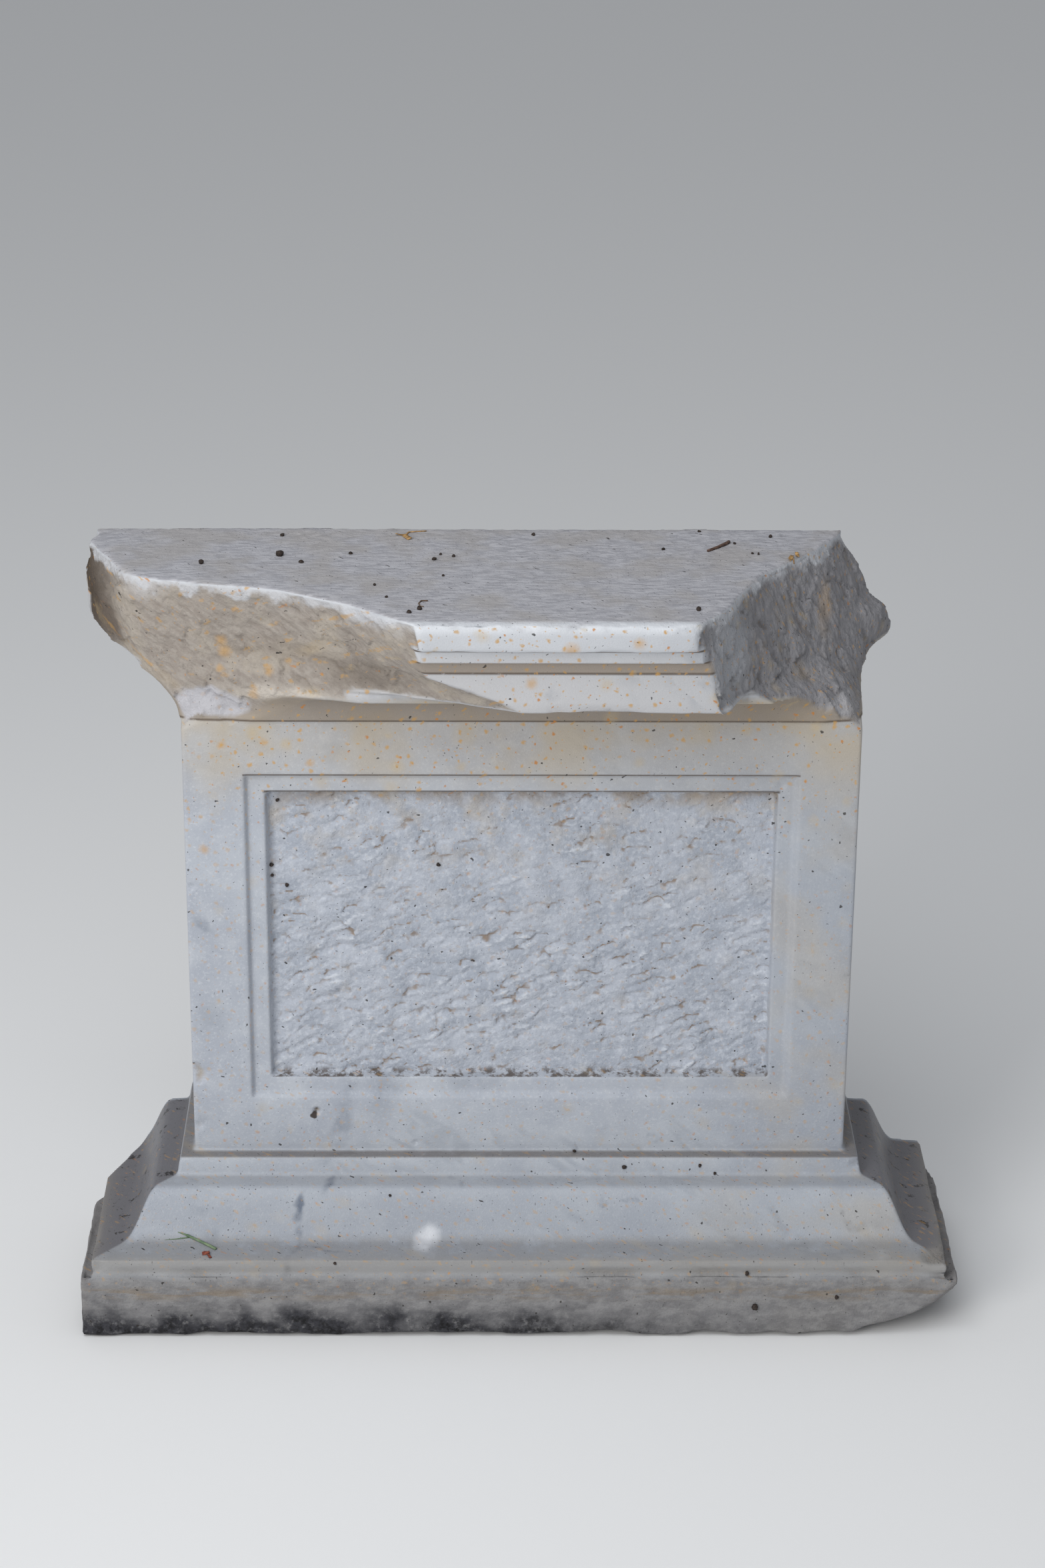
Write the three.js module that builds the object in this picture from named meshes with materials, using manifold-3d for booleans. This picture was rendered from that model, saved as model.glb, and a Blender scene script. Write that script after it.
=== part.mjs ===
// A marble column base: one block with a moulded foot, a panelled die and a broken cornice.
// Millimetres, +Z up. The origin is the middle of the underside, and the carved front faces -Y.

import * as THREE from 'three';
import { mergeVertices } from 'three/addons/utils/BufferGeometryUtils.js';
import Module from 'manifold-3d';

const wasm = await Module();
wasm.setup();

// Main sizes of the block
const dieWidth = 520;
const dieHeight = 372;
const dieDepth = 122;

// Foot, from the ground up: rough plinth, band, cyma, fillet
const plinthHeight = 56;
const plinthFrontProjection = 81;
const plinthSideProjection = 87;
const bandHeight = 13;
const bandProjection = 78;
const cymaHeight = 41;
const cymaFootLedge = 22;
const cymaFootLip = 2;
const cymaHeadProjection = 28;
const cymaHeadDip = 1;
const footFilletHeight = 15;
const footFilletProjection = 11;
const footFilletFlare = 3;

// Cornice, from the die up: cavetto, bed fillet, corona, small cavetto, crown fillet, slab
const bedQuirk = 2;
const bedCavettoHeight = 27;
const bedCavettoProjection = 31;
const bedFilletHeight = 9;
const bedFilletProjection = 34;
const coronaHeight = 33;
const coronaProjection = 78;
const crownCavettoHeight = 11;
const crownCavettoFlare = 7;
const crownFilletHeight = 11;
const crownFilletProjection = 87;
const slabHeight = 22;
const slabProjection = 94;

// Sunk panel on the front of the die
const panelWidth = 427;
const panelHeight = 279;
const panelSill = 48;
const panelStep = 4;
const panelStepSlope = 3;
const panelBorder = 15;
const fieldDepth = 9;
const fieldTaper = 3;
const fieldRelief = 2.6;

// Drilled hole in the lower rail of the die
const holeDiameter = 6.5;
const holeDepth = 9;
const holeFromLeftArris = 98;
const holeAboveDieFoot = 36;

// Roughness of the surfaces that were never finished, and of the breaks
const backRelief = 5;
const backLump = 42;
const plinthRelief = 3.5;
const chiselMark = 22;
const breakRelief = 3.5;
const breakGrain = 26;
const fieldPit = 11;
const arrisChipDepth = 5;
const arrisChipLength = 13;
const footChipHeight = 13;
const footChipDepth = 26;
const footChipLength = 30;

// How finely curves are cut into facets, and how far every cutter runs past the stone
const curveSteps = 9;
const holeSides = 12;
const overshoot = 2;
const sheetMargin = 69;
const aboveCrown = 15;

// Levels, worked out from the sizes
const halfDie = dieWidth / 2;
const bandBottom = plinthHeight;
const bandTop = bandBottom + bandHeight;
const cymaTop = bandTop + cymaHeight;
const dieBottom = cymaTop + footFilletHeight;
const dieTop = dieBottom + dieHeight;
const bedFilletBottom = dieTop + bedCavettoHeight;
const soffit = bedFilletBottom + bedFilletHeight;
const coronaTop = soffit + coronaHeight;
const crownFilletBottom = coronaTop + crownCavettoHeight;
const slabBottom = crownFilletBottom + crownFilletHeight;
const blockTop = slabBottom + slabHeight;
const dieFront = (plinthFrontProjection - dieDepth) / 2;
const blockBack = dieFront + dieDepth;
const footWidth = dieWidth + 2 * plinthSideProjection;
const sheetWidth = footWidth + 2 * sheetMargin;
const plinthFront = dieFront - plinthFrontProjection;

// Corners of the foot that were knocked off: how far each break runs along the face and along
// the side, the levels where it leaves them, and where it reaches the corner's upright edge
const frontRightCorner = {
  alongFace: 73, faceLevel: 11, alongSide: 92, sideLevel: 2, top: 54, topInset: 0, bulge: 10,
};
const backLeftCorner = {
  alongFace: 34, faceLevel: 8, alongSide: 78, sideLevel: 8, top: bandTop, topInset: 38, bulge: 3,
};
const backRightCorner = {
  alongFace: 9, faceLevel: 8, alongSide: 42, sideLevel: 8, top: bandTop, topInset: 11, bulge: 2,
};

// A closed geometry becomes a solid whose faces point out, whichever way it was wound
function solid(geometry) {
  const bare = geometry.clone();
  bare.deleteAttribute('normal');
  bare.deleteAttribute('uv');
  const merged = mergeVertices(bare, 1e-4);
  const corners = Float32Array.from(merged.attributes.position.array);
  const faces = Uint32Array.from(merged.index.array);
  if (signedVolume(corners, faces) < 0) {
    for (let i = 0; i < faces.length; i += 3) {
      [faces[i], faces[i + 1]] = [faces[i + 1], faces[i]];
    }
  }
  return new wasm.Manifold(new wasm.Mesh({ numProp: 3, vertProperties: corners, triVerts: faces }));
}

function signedVolume(corners, faces) {
  let sum = 0;
  const [a, b, c] = [new THREE.Vector3(), new THREE.Vector3(), new THREE.Vector3()];
  for (let i = 0; i < faces.length; i += 3) {
    a.fromArray(corners, 3 * faces[i]);
    b.fromArray(corners, 3 * faces[i + 1]);
    c.fromArray(corners, 3 * faces[i + 2]);
    sum += a.dot(b.cross(c)) / 6;
  }
  return sum;
}

// Smooth repeatable noise between -1 and 1: hashed lattice values blended in three directions
function latticeValue(i, j, k, seed) {
  const wave = Math.sin(i * 127.1 + j * 311.7 + k * 74.7 + seed * 53.3) * 43758.5453;
  return 2 * (wave - Math.floor(wave)) - 1;
}

function noise(x, y, z, seed) {
  const base = [x, y, z].map(Math.floor);
  const ease = [x, y, z].map((value, axis) => {
    const t = value - base[axis];
    return t * t * (3 - 2 * t);
  });
  let sum = 0;
  for (let corner = 0; corner < 8; corner += 1) {
    const step = [corner & 1, (corner >> 1) & 1, (corner >> 2) & 1];
    const weight = step.reduce((w, s, axis) => w * (s ? ease[axis] : 1 - ease[axis]), 1);
    sum += weight * latticeValue(base[0] + step[0], base[1] + step[1], base[2] + step[2], seed);
  }
  return sum;
}

function roughness(point, grain, seed) {
  const [x, y, z] = [point.x / grain, point.y / grain, point.z / grain];
  return 0.65 * noise(x, y, z, seed) + 0.35 * noise(2.3 * x, 2.3 * y, 2.3 * z, seed + 7);
}

// A gridded box whose near side follows one surface and whose far side another.
// Both are functions of u and v, which run from 0 to 1 along its columns and rows.
function warpedBox(columns, rows, near, far) {
  const box = new THREE.BoxGeometry(1, 1, 1, columns, rows, 1);
  const places = box.attributes.position;
  for (let i = 0; i < places.count; i += 1) {
    const [u, v] = [places.getX(i) + 0.5, places.getY(i) + 0.5];
    const target = places.getZ(i) < 0 ? near(u, v) : far(u, v);
    places.setXYZ(i, target.x, target.y, target.z);
  }
  return solid(box);
}

// Outline of the mouldings: how far each level stands out from the die
function mouldedOutline(plinthProjection) {
  const path = new THREE.Path();
  path.moveTo(plinthProjection, 0);
  path.lineTo(plinthProjection, bandBottom);
  path.lineTo(bandProjection, bandBottom);
  path.lineTo(bandProjection, bandTop);
  const footStart = bandProjection - cymaFootLedge;
  const cymaRun = footStart - cymaHeadProjection;
  path.lineTo(footStart, bandTop + cymaFootLip);
  path.bezierCurveTo(
    footStart - 0.43 * cymaRun, bandTop + cymaFootLip,
    cymaHeadProjection + 0.36 * cymaRun, cymaTop - cymaHeadDip,
    cymaHeadProjection, cymaTop - cymaHeadDip,
  );
  path.lineTo(footFilletProjection + footFilletFlare, cymaTop);
  path.lineTo(footFilletProjection, dieBottom);
  path.lineTo(0, dieBottom);
  path.lineTo(0, dieTop);
  path.lineTo(bedQuirk, dieTop);
  const sweep = bedCavettoProjection - bedQuirk;
  path.bezierCurveTo(
    bedQuirk, dieTop + 0.55 * bedCavettoHeight,
    bedQuirk + 0.45 * sweep, bedFilletBottom,
    bedCavettoProjection, bedFilletBottom,
  );
  path.lineTo(bedFilletProjection, bedFilletBottom);
  path.lineTo(bedFilletProjection, soffit);
  path.lineTo(coronaProjection, soffit);
  path.lineTo(coronaProjection, coronaTop);
  path.quadraticCurveTo(
    coronaProjection, crownFilletBottom,
    coronaProjection + crownCavettoFlare, crownFilletBottom,
  );
  path.lineTo(crownFilletProjection, crownFilletBottom);
  path.lineTo(crownFilletProjection, slabBottom);
  path.lineTo(slabProjection, slabBottom);
  path.lineTo(slabProjection, blockTop);
  return path.getPoints(curveSteps);
}

function extrudeOutline(points, depth) {
  const shape = new THREE.Shape(points);
  return new THREE.ExtrudeGeometry(shape, { depth, bevelEnabled: false, steps: 1 });
}

// The front mouldings run along X and the side mouldings along Y. Where both solids overlap,
// the mouldings meet in mitres at the corners, and the back is cut off flat.
function mouldedBlock() {
  const frontOutline = mouldedOutline(plinthFrontProjection)
    .map((p) => new THREE.Vector2(dieDepth + p.x, p.y));
  const backLine = [new THREE.Vector2(0, blockTop), new THREE.Vector2(0, 0)];
  const alongX = extrudeOutline([...frontOutline, ...backLine], 2 * footWidth);
  alongX.applyMatrix4(new THREE.Matrix4().makeBasis(
    new THREE.Vector3(0, -1, 0), new THREE.Vector3(0, 0, 1), new THREE.Vector3(-1, 0, 0),
  ));
  alongX.translate(footWidth, blockBack, 0);
  const rightOutline = mouldedOutline(plinthSideProjection)
    .map((p) => new THREE.Vector2(halfDie + p.x, p.y));
  const leftOutline = rightOutline.map((p) => new THREE.Vector2(-p.x, p.y)).reverse();
  const alongY = extrudeOutline([...rightOutline, ...leftOutline], 2 * footWidth);
  alongY.rotateX(Math.PI / 2);
  alongY.translate(0, blockBack + footWidth, 0);
  return solid(alongX).intersect(solid(alongY));
}

// A sinking with sloped sides, open to the front: a four-sided frustum turned to face -Y
function sinking(width, height, depth, slope, middleZ) {
  const widen = slope * overshoot / depth;
  const half = { x: width / 2 + widen, z: height / 2 + widen };
  const shrink = slope + widen;
  return warpedBox(1, 1, (u, v) => new THREE.Vector3(
    (2 * u - 1) * (half.x - shrink), dieFront + depth, middleZ + (2 * v - 1) * (half.z - shrink),
  ), (u, v) => new THREE.Vector3(
    (2 * u - 1) * half.x, dieFront - overshoot, middleZ + (2 * v - 1) * half.z,
  ));
}

// The field of the panel was dressed back with a point, so its floor is a sheet of small pits
function panel() {
  const middleZ = dieBottom + panelSill + panelHeight / 2;
  const frame = sinking(panelWidth, panelHeight, panelStep, panelStepSlope, middleZ);
  const fieldWidth = panelWidth - 2 * panelBorder;
  const fieldHeight = panelHeight - 2 * panelBorder;
  const floor = (u, v) => {
    const place = new THREE.Vector3(
      (u - 0.5) * (fieldWidth - 2 * fieldTaper), 0, middleZ + (v - 0.5) * (fieldHeight - 2 * fieldTaper),
    );
    place.y = dieFront + panelStep + fieldDepth + fieldRelief * roughness(place, fieldPit, 3);
    return place;
  };
  const mouth = (u, v) => new THREE.Vector3(
    (u - 0.5) * fieldWidth, dieFront, middleZ + (v - 0.5) * fieldHeight,
  );
  const columns = Math.round(fieldWidth / fieldPit);
  const rows = Math.round(fieldHeight / fieldPit);
  return frame.add(warpedBox(columns, rows, floor, mouth));
}

function drilledHole() {
  const drill = new THREE.CylinderGeometry(
    holeDiameter / 4, holeDiameter / 2, holeDepth + overshoot, holeSides,
  );
  drill.translate(
    holeFromLeftArris - halfDie,
    dieFront + (holeDepth - overshoot) / 2,
    dieBottom + holeAboveDieFoot,
  );
  return solid(drill);
}

// A break is drawn as plan contours at a few levels, each from the back of the block to its
// front. Their points are shares: x of half the die's width and y of its depth, from its face.
function breakSolid(levels, outward, columns, rows, seed) {
  const contours = levels.map(({ z, points }) => new THREE.CatmullRomCurve3(
    points.map(([x, y]) => new THREE.Vector3(x * halfDie, dieFront + y * dieDepth, z)),
    false, 'centripetal',
  ));
  const away = new THREE.Vector3(outward[0], outward[1], 0).normalize();
  const near = (u, v) => {
    const rib = new THREE.CatmullRomCurve3(contours.map((c) => c.getPoint(u)), false, 'centripetal');
    const place = rib.getPoint(v);
    return place.addScaledVector(away, breakRelief * roughness(place, breakGrain, seed));
  };
  const far = (u, v) => near(u, v).addScaledVector(away, footWidth);
  return warpedBox(columns, rows, near, far);
}

// Left break: a wide scoop from the back corner of the crown to the middle of its front
function leftBreak() {
  const crown = [
    [-1.36, 1.45], [-1.305, 0.9], [-1.22, 0.44], [-1.12, 0.09], [-0.95, -0.03], [-0.76, -0.12],
    [-0.57, -0.33], [-0.4, -0.6], [-0.285, -0.83], [-0.2, -1.1],
  ];
  return breakSolid([
    { z: blockTop + aboveCrown, points: crown },
    { z: blockTop, points: crown },
    {
      z: coronaTop,
      points: [
        [-1.37, 1.45], [-1.315, 0.9], [-1.235, 0.48], [-1.12, 0.14], [-0.95, 0.03], [-0.76, -0.05],
        [-0.57, -0.2], [-0.41, -0.4], [-0.288, -0.65], [-0.2, -1],
      ],
    },
    {
      z: soffit + 0.5 * coronaHeight,
      points: [
        [-1.36, 1.45], [-1.31, 0.92], [-1.23, 0.53], [-1.11, 0.18], [-0.93, 0.04], [-0.72, -0.05],
        [-0.5, -0.22], [-0.29, -0.43], [-0.11, -0.65], [0.02, -1],
      ],
    },
    {
      z: soffit,
      points: [
        [-1.33, 1.45], [-1.28, 0.92], [-1.2, 0.57], [-1.1, 0.2], [-0.95, 0.04], [-0.76, -0.07],
        [-0.55, -0.21], [-0.31, -0.38], [0.01, -0.65], [0.12, -1],
      ],
    },
    {
      z: bedFilletBottom,
      points: [
        [-1.38, 1.45], [-1.27, 0.85], [-1.15, 0.45], [-1.07, 0.14], [-0.94, 0.02], [-0.78, -0.07],
        [-0.62, -0.16], [-0.47, -0.27], [-0.2, -0.6], [0.15, -1],
      ],
    },
    {
      z: dieTop + 0.5 * bedCavettoHeight,
      points: [
        [-1.38, 1.45], [-1.26, 0.8], [-1.13, 0.38], [-1.04, 0.1], [-0.96, 0.03], [-0.82, -0.01],
        [-0.63, -0.055], [-0.46, -0.25], [-0.2, -0.6], [0.15, -1],
      ],
    },
    {
      z: dieTop - 2,
      points: [
        [-1.4, 1.45], [-1.3, 0.8], [-1.13, 0.3], [-1.02, 0.08], [-0.97, 0.012], [-0.88, -0.002],
        [-0.76, -0.08], [-0.5, -0.3], [-0.2, -0.6], [0.15, -1],
      ],
    },
    {
      z: dieTop - 14,
      points: [
        [-1.45, 1.4], [-1.38, 0.7], [-1.25, 0.2], [-1.12, 0], [-1, -0.08], [-0.88, -0.1],
        [-0.76, -0.16], [-0.5, -0.35], [-0.2, -0.6], [0.15, -1],
      ],
    },
  ], [-0.5, -0.87], 44, 22, 11);
}

// Right break: a steeper face, which leaves a nose of the bed fillet standing at the back
function rightBreak() {
  const crown = [
    [1.1, 2], [0.965, 0.98], [0.88, 0.62], [0.76, 0.33], [0.665, 0.02], [0.605, -0.33],
    [0.535, -0.62], [0.45, -0.88], [0.38, -1.15],
  ];
  return breakSolid([
    { z: blockTop + aboveCrown, points: crown },
    { z: blockTop, points: crown },
    {
      z: coronaTop,
      points: [
        [1.2, 2], [1.05, 0.98], [0.95, 0.62], [0.84, 0.32], [0.735, 0.04], [0.65, -0.25],
        [0.585, -0.48], [0.535, -0.66], [0.49, -1],
      ],
    },
    {
      z: soffit + 0.72 * coronaHeight,
      points: [
        [1.2, 2], [1.065, 0.98], [0.97, 0.62], [0.87, 0.32], [0.765, 0.05], [0.67, -0.22],
        [0.595, -0.46], [0.54, -0.66], [0.5, -1],
      ],
    },
    {
      z: soffit + 0.48 * coronaHeight,
      points: [
        [1.25, 2], [1.115, 0.98], [0.99, 0.64], [0.89, 0.33], [0.78, 0.06], [0.68, -0.19],
        [0.6, -0.44], [0.54, -0.66], [0.5, -1],
      ],
    },
    {
      z: soffit,
      points: [
        [1.25, 2], [1.125, 0.98], [1.01, 0.64], [0.93, 0.34], [0.84, 0.09], [0.75, -0.1],
        [0.66, -0.28], [0.59, -0.62], [0.55, -1],
      ],
    },
    {
      z: bedFilletBottom,
      points: [
        [1.25, 2], [1.115, 0.98], [1.02, 0.66], [0.965, 0.34], [0.9, 0.1], [0.82, -0.08],
        [0.735, -0.26], [0.68, -0.6], [0.66, -1],
      ],
    },
    {
      z: dieTop + 0.5 * bedCavettoHeight,
      points: [
        [1.3, 2], [1.07, 0.95], [1.02, 0.62], [0.985, 0.3], [0.95, 0.06], [0.89, -0.01],
        [0.81, -0.06], [0.72, -0.5], [0.66, -1],
      ],
    },
    {
      z: dieTop - 2,
      points: [
        [1.4, 2], [1.2, 0.8], [1.06, 0.35], [1.0, 0.06], [0.975, 0.012], [0.94, -0.002],
        [0.86, -0.08], [0.74, -0.5], [0.66, -1],
      ],
    },
    {
      z: dieTop - 16,
      points: [
        [1.45, 2], [1.25, 0.7], [1.18, 0.25], [1.08, 0], [1.02, -0.06], [0.97, -0.1],
        [0.88, -0.2], [0.76, -0.5], [0.66, -1],
      ],
    },
  ], [0.87, -0.5], 34, 22, 23);
}

// A gridded sheet across the whole width of the foot, whose cells are about as wide as given.
// Its near side is shaped by a function of u and v, and its far side lies outside the stone.
function sheetCutter(cell, rows, near, far) {
  return warpedBox(Math.round(sheetWidth / cell), rows, near, far);
}

// The back was only roughly split, so a lumpy sheet is taken off it
function roughBack() {
  const cell = 32;
  const height = blockTop + 2 * sheetMargin;
  const near = (u, v) => {
    const place = new THREE.Vector3((u - 0.5) * sheetWidth, blockBack, v * height - sheetMargin);
    place.y -= 0.5 * backRelief * (1 + roughness(place, backLump, 31));
    return place;
  };
  const far = (u, v) => near(u, v).setY(blockBack + backRelief);
  return sheetCutter(cell, Math.round(height / cell), near, far);
}

// The plinth's front was left rough from the point chisel, up to its arris under the band
function roughPlinthFront() {
  const below = 10;
  const near = (u, v) => {
    const level = v * bandBottom - (1 - v) * below;
    const place = new THREE.Vector3((u - 0.5) * sheetWidth, plinthFront, level);
    const fade = Math.min(1, 4 * (1 - v));
    place.y += 0.45 * plinthRelief * (1 + roughness(place, chiselMark, 41)) * fade;
    return place;
  };
  const far = (u, v) => near(u, v).setY(plinthFront - plinthRelief);
  return sheetCutter(15, 5, near, far);
}

// Chips along the bottom arris of the front, deeper towards the right
function raggedFoot() {
  const outside = 8;
  const near = (u, v) => {
    const place = new THREE.Vector3(
      (u - 0.5) * sheetWidth, plinthFront - outside + v * (footChipDepth + outside), 0,
    );
    const ragged = Math.abs(roughness(place, footChipLength, 53));
    const nicked = noise(2 * place.x / footChipLength, 0, 0, 5);
    const wear = 0.55 + 0.8 * u;
    const fade = Math.max(0, 1 - 1.2 * v);
    place.z = footChipHeight * wear * (0.35 + 0.65 * ragged + 0.3 * nicked) * fade - overshoot * v;
    return place;
  };
  const far = (u, v) => near(u, v).setZ(-2 * footChipHeight);
  return sheetCutter(15, 4, near, far);
}

// A corner of the foot knocked off: everything beyond a bulging face through three places.
// side is -1 at the left and 1 at the right; inward is the way from the face into the stone.
function cornerBreak(corner, side, face, inward, seed) {
  const edge = side * footWidth / 2;
  const a = new THREE.Vector3(edge - side * corner.alongFace, face, corner.faceLevel);
  const b = new THREE.Vector3(edge, face + inward * corner.alongSide, corner.sideLevel);
  const c = new THREE.Vector3(edge - side * corner.topInset, face, corner.top);
  const away = new THREE.Plane().setFromCoplanarPoints(a, b, c).normal.clone();
  if (away.x * side < 0) {
    away.negate();
  }
  const [edgeU, edgeV] = [b.clone().sub(a), c.clone().sub(a)];
  const near = (u, v) => {
    const [s, t] = [2.2 * u - 0.6, 2.2 * v - 0.6];
    const place = a.clone().addScaledVector(edgeU, s).addScaledVector(edgeV, t);
    const crown = 1.5 * Math.max(0, 1 - s ** 2 - t ** 2 - (1 - s - t) ** 2);
    const lumps = 0.5 * breakRelief * roughness(place, breakGrain, seed);
    return place.addScaledVector(away, corner.bulge * crown + lumps);
  };
  const far = (u, v) => near(u, v).addScaledVector(away, footWidth);
  return warpedBox(9, 9, near, far);
}

// Small scallops along the front arris of the crown: a wavy chamfer between the slab and the top
function chippedArris() {
  const front = dieFront - slabProjection;
  const outside = 12;
  const near = (u, v) => {
    const x = (u - 0.5) * sheetWidth;
    const bite = arrisChipDepth * (0.55 + 0.45 * noise(x / arrisChipLength, 0, 0, 83));
    const slide = 2 * v - 1;
    return new THREE.Vector3(x, front + bite * slide, blockTop + 1.5 * bite * (slide - 0.6));
  };
  const far = (u, v) => near(u, v).add(new THREE.Vector3(0, -outside, outside));
  return sheetCutter(arrisChipLength, 2, near, far);
}

function columnBaseGeometry() {
  const cutters = [
    panel(), drilledHole(), leftBreak(), rightBreak(), roughBack(),
    roughPlinthFront(), raggedFoot(), chippedArris(),
    cornerBreak(frontRightCorner, 1, plinthFront, 1, 61),
    cornerBreak(backLeftCorner, -1, blockBack, -1, 67),
    cornerBreak(backRightCorner, 1, blockBack, -1, 71),
  ];
  const block = cutters.reduce((stone, cutter) => stone.subtract(cutter), mouldedBlock());
  const mesh = block.getMesh();
  const geometry = new THREE.BufferGeometry();
  geometry.setAttribute('position', new THREE.BufferAttribute(Float32Array.from(mesh.vertProperties), 3));
  geometry.setIndex(new THREE.BufferAttribute(Uint32Array.from(mesh.triVerts), 1));
  geometry.computeVertexNormals();
  return geometry;
}

const marble = new THREE.MeshStandardMaterial({ color: '#c3c7ca', roughness: 0.62, metalness: 0 });
const columnBase = new THREE.Mesh(columnBaseGeometry(), marble);
columnBase.name = 'column_base';

const part = new THREE.Group();
part.add(columnBase);

export default part;
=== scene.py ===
# %% [markdown]
# # A broken marble column base
# One block of pale grey marble stands on its foot. It has a moulded foot, a plain die with a sunk
# panel, and the stump of a cornice whose two ends were broken away. The solid model gives every
# size. This script gives the block its worn edges, chisel marks, broken stone, stains and soil.
#
# The first cell loads the solid model as a fixed frame. Everything below is in metres, with Z up
# and the carved front facing -Y, and each piece is built where the solid model says.

# %% Load the solid model
import itertools
import math

import bmesh
import bpy
import numpy as np
from mathutils import Matrix, Vector
from mathutils.bvhtree import BVHTree


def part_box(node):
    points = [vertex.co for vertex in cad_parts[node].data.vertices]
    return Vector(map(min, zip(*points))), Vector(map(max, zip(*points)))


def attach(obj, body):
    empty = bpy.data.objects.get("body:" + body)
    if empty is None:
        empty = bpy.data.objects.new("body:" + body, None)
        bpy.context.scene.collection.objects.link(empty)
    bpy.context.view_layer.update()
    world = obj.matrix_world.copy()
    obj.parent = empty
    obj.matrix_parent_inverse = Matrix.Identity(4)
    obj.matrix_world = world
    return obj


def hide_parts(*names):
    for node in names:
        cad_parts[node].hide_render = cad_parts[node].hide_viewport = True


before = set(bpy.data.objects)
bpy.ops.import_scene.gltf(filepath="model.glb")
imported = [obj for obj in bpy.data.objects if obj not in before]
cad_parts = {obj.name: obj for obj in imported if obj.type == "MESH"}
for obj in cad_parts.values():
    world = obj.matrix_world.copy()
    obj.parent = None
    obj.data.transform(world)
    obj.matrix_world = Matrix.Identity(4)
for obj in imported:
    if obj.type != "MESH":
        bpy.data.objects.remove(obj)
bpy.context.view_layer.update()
solid_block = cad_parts["column_base"]
low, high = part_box("column_base")
print("Block:", [round(1000 * side) for side in high - low], "mm")

# %% [markdown]
# ## The camera
# The photograph was taken by someone standing in front of the block and looking down on it. The
# camera's place and angles were solved from the corners of the panel, the die and the foot. The
# focal length is in pixels of the photograph, so dividing it by the picture's height and
# multiplying by the sensor gives the lens in millimetres.

# %% Place the camera
photo_width, photo_height = 1568, 2352
focal_pixels = 5318.2
sensor_mm = 36.0
eye = Vector((-0.0314, -2.5209, 1.5135))
pitch, yaw, roll = 0.4039, 0.0128, -0.0066

ahead = Vector((math.sin(yaw) * math.cos(pitch), math.cos(yaw) * math.cos(pitch), -math.sin(pitch)))
level_right = Vector((math.cos(yaw), -math.sin(yaw), 0))
level_down = ahead.cross(level_right)
right = level_right * math.cos(roll) + level_down * math.sin(roll)
down = level_down * math.cos(roll) - level_right * math.sin(roll)

lens = bpy.data.cameras.new("photo_camera")
lens.sensor_width = sensor_mm
lens.lens = focal_pixels / photo_height * sensor_mm
lens.clip_end = 100
camera = bpy.data.objects.new("photo_camera", lens)
camera.matrix_world = Matrix.Translation(eye) @ Matrix((right, -down, -ahead)).transposed().to_4x4()
bpy.context.scene.collection.objects.link(camera)
bpy.context.scene.camera = camera
print("Lens:", round(lens.lens, 1), "mm, looking down", round(math.degrees(pitch), 1), "degrees")

# %% [markdown]
# ## From a pixel to a place on the stone
# Chips, veins and litter are easiest to name by where they show in the photograph. A ray from the
# camera through that pixel meets the solid block at a real place, so a mark put there stays on
# the stone from every side.

# %% Find the place on the stone behind a pixel
solid_tree = BVHTree.FromObject(solid_block, bpy.context.evaluated_depsgraph_get())


def on_stone(across, along, tree=None):
    """The place on the block that shows at a pixel of the photograph, and the way it faces."""
    ray = ahead + right * ((across - photo_width / 2) / focal_pixels)
    ray += down * ((along - photo_height / 2) / focal_pixels)
    place, facing, _, _ = (tree or solid_tree).ray_cast(eye, ray.normalized())
    return place, facing


drilled_hole = (475, 1665)
print("Drilled hole at", [round(1000 * c) for c in on_stone(*drilled_hole)[0]], "mm")

# %% [markdown]
# ## Soft light and a pale floor
# The block stood in open shade: the light is soft, comes mostly from the front and a little from
# the left, and the sky above lit the top about as much as the front. A pale sky all round, a large
# lamp behind the camera's left shoulder and one high in front give that, and still let the chisel
# marks show. The floor is pale and plain, so nothing competes.

# %% Light the block and lay the floor
scene = bpy.context.scene
scene.view_settings.view_transform = "Standard"
scene.view_settings.look = "None"

sky = bpy.data.worlds.new("open_shade")
sky.use_nodes = True
sky_light = sky.node_tree.nodes["Background"]
sky_light.inputs["Color"].default_value = (0.93, 0.96, 1.0, 1)
sky_light.inputs["Strength"].default_value = 0.36
scene.world = sky


def soft_lamp(name, place, aim, size, watts, colour):
    """A square area lamp at a place, turned to face its aim."""
    light = bpy.data.lights.new(name, "AREA")
    light.size = size
    light.energy = watts
    light.color = colour
    lamp = bpy.data.objects.new(name, light)
    turn = (Vector(aim) - Vector(place)).to_track_quat("-Z", "Y")
    lamp.matrix_world = Matrix.Translation(place) @ turn.to_matrix().to_4x4()
    scene.collection.objects.link(lamp)


def piece_from(shape, name):
    """A new object in the scene with the shape of a bmesh, which is then let go."""
    mesh = bpy.data.meshes.new(name)
    shape.to_mesh(mesh)
    shape.free()
    piece = bpy.data.objects.new(name, mesh)
    scene.collection.objects.link(piece)
    return piece


middle = (low + high) / 2
soft_lamp("window_left", (-2.0, -2.9, 1.7), middle, 1.5, 58, (1.0, 0.985, 0.96))
soft_lamp("open_sky", (-0.7, -1.5, 2.8), middle, 1.9, 34, (0.95, 0.975, 1.0))

floor_shape = bmesh.new()
bmesh.ops.create_grid(floor_shape, x_segments=1, y_segments=1, size=15)
studio_floor = piece_from(floor_shape, "studio_floor")
floor_finish = bpy.data.materials.new("studio_floor")
floor_finish.use_nodes = True
floor_shader = floor_finish.node_tree.nodes["Principled BSDF"]
floor_shader.inputs["Base Color"].default_value = (0.9, 0.9, 0.9, 1)
floor_shader.inputs["Roughness"].default_value = 0.9
studio_floor.data.materials.append(floor_finish)
print("Floor and lamps are in place")

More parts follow.
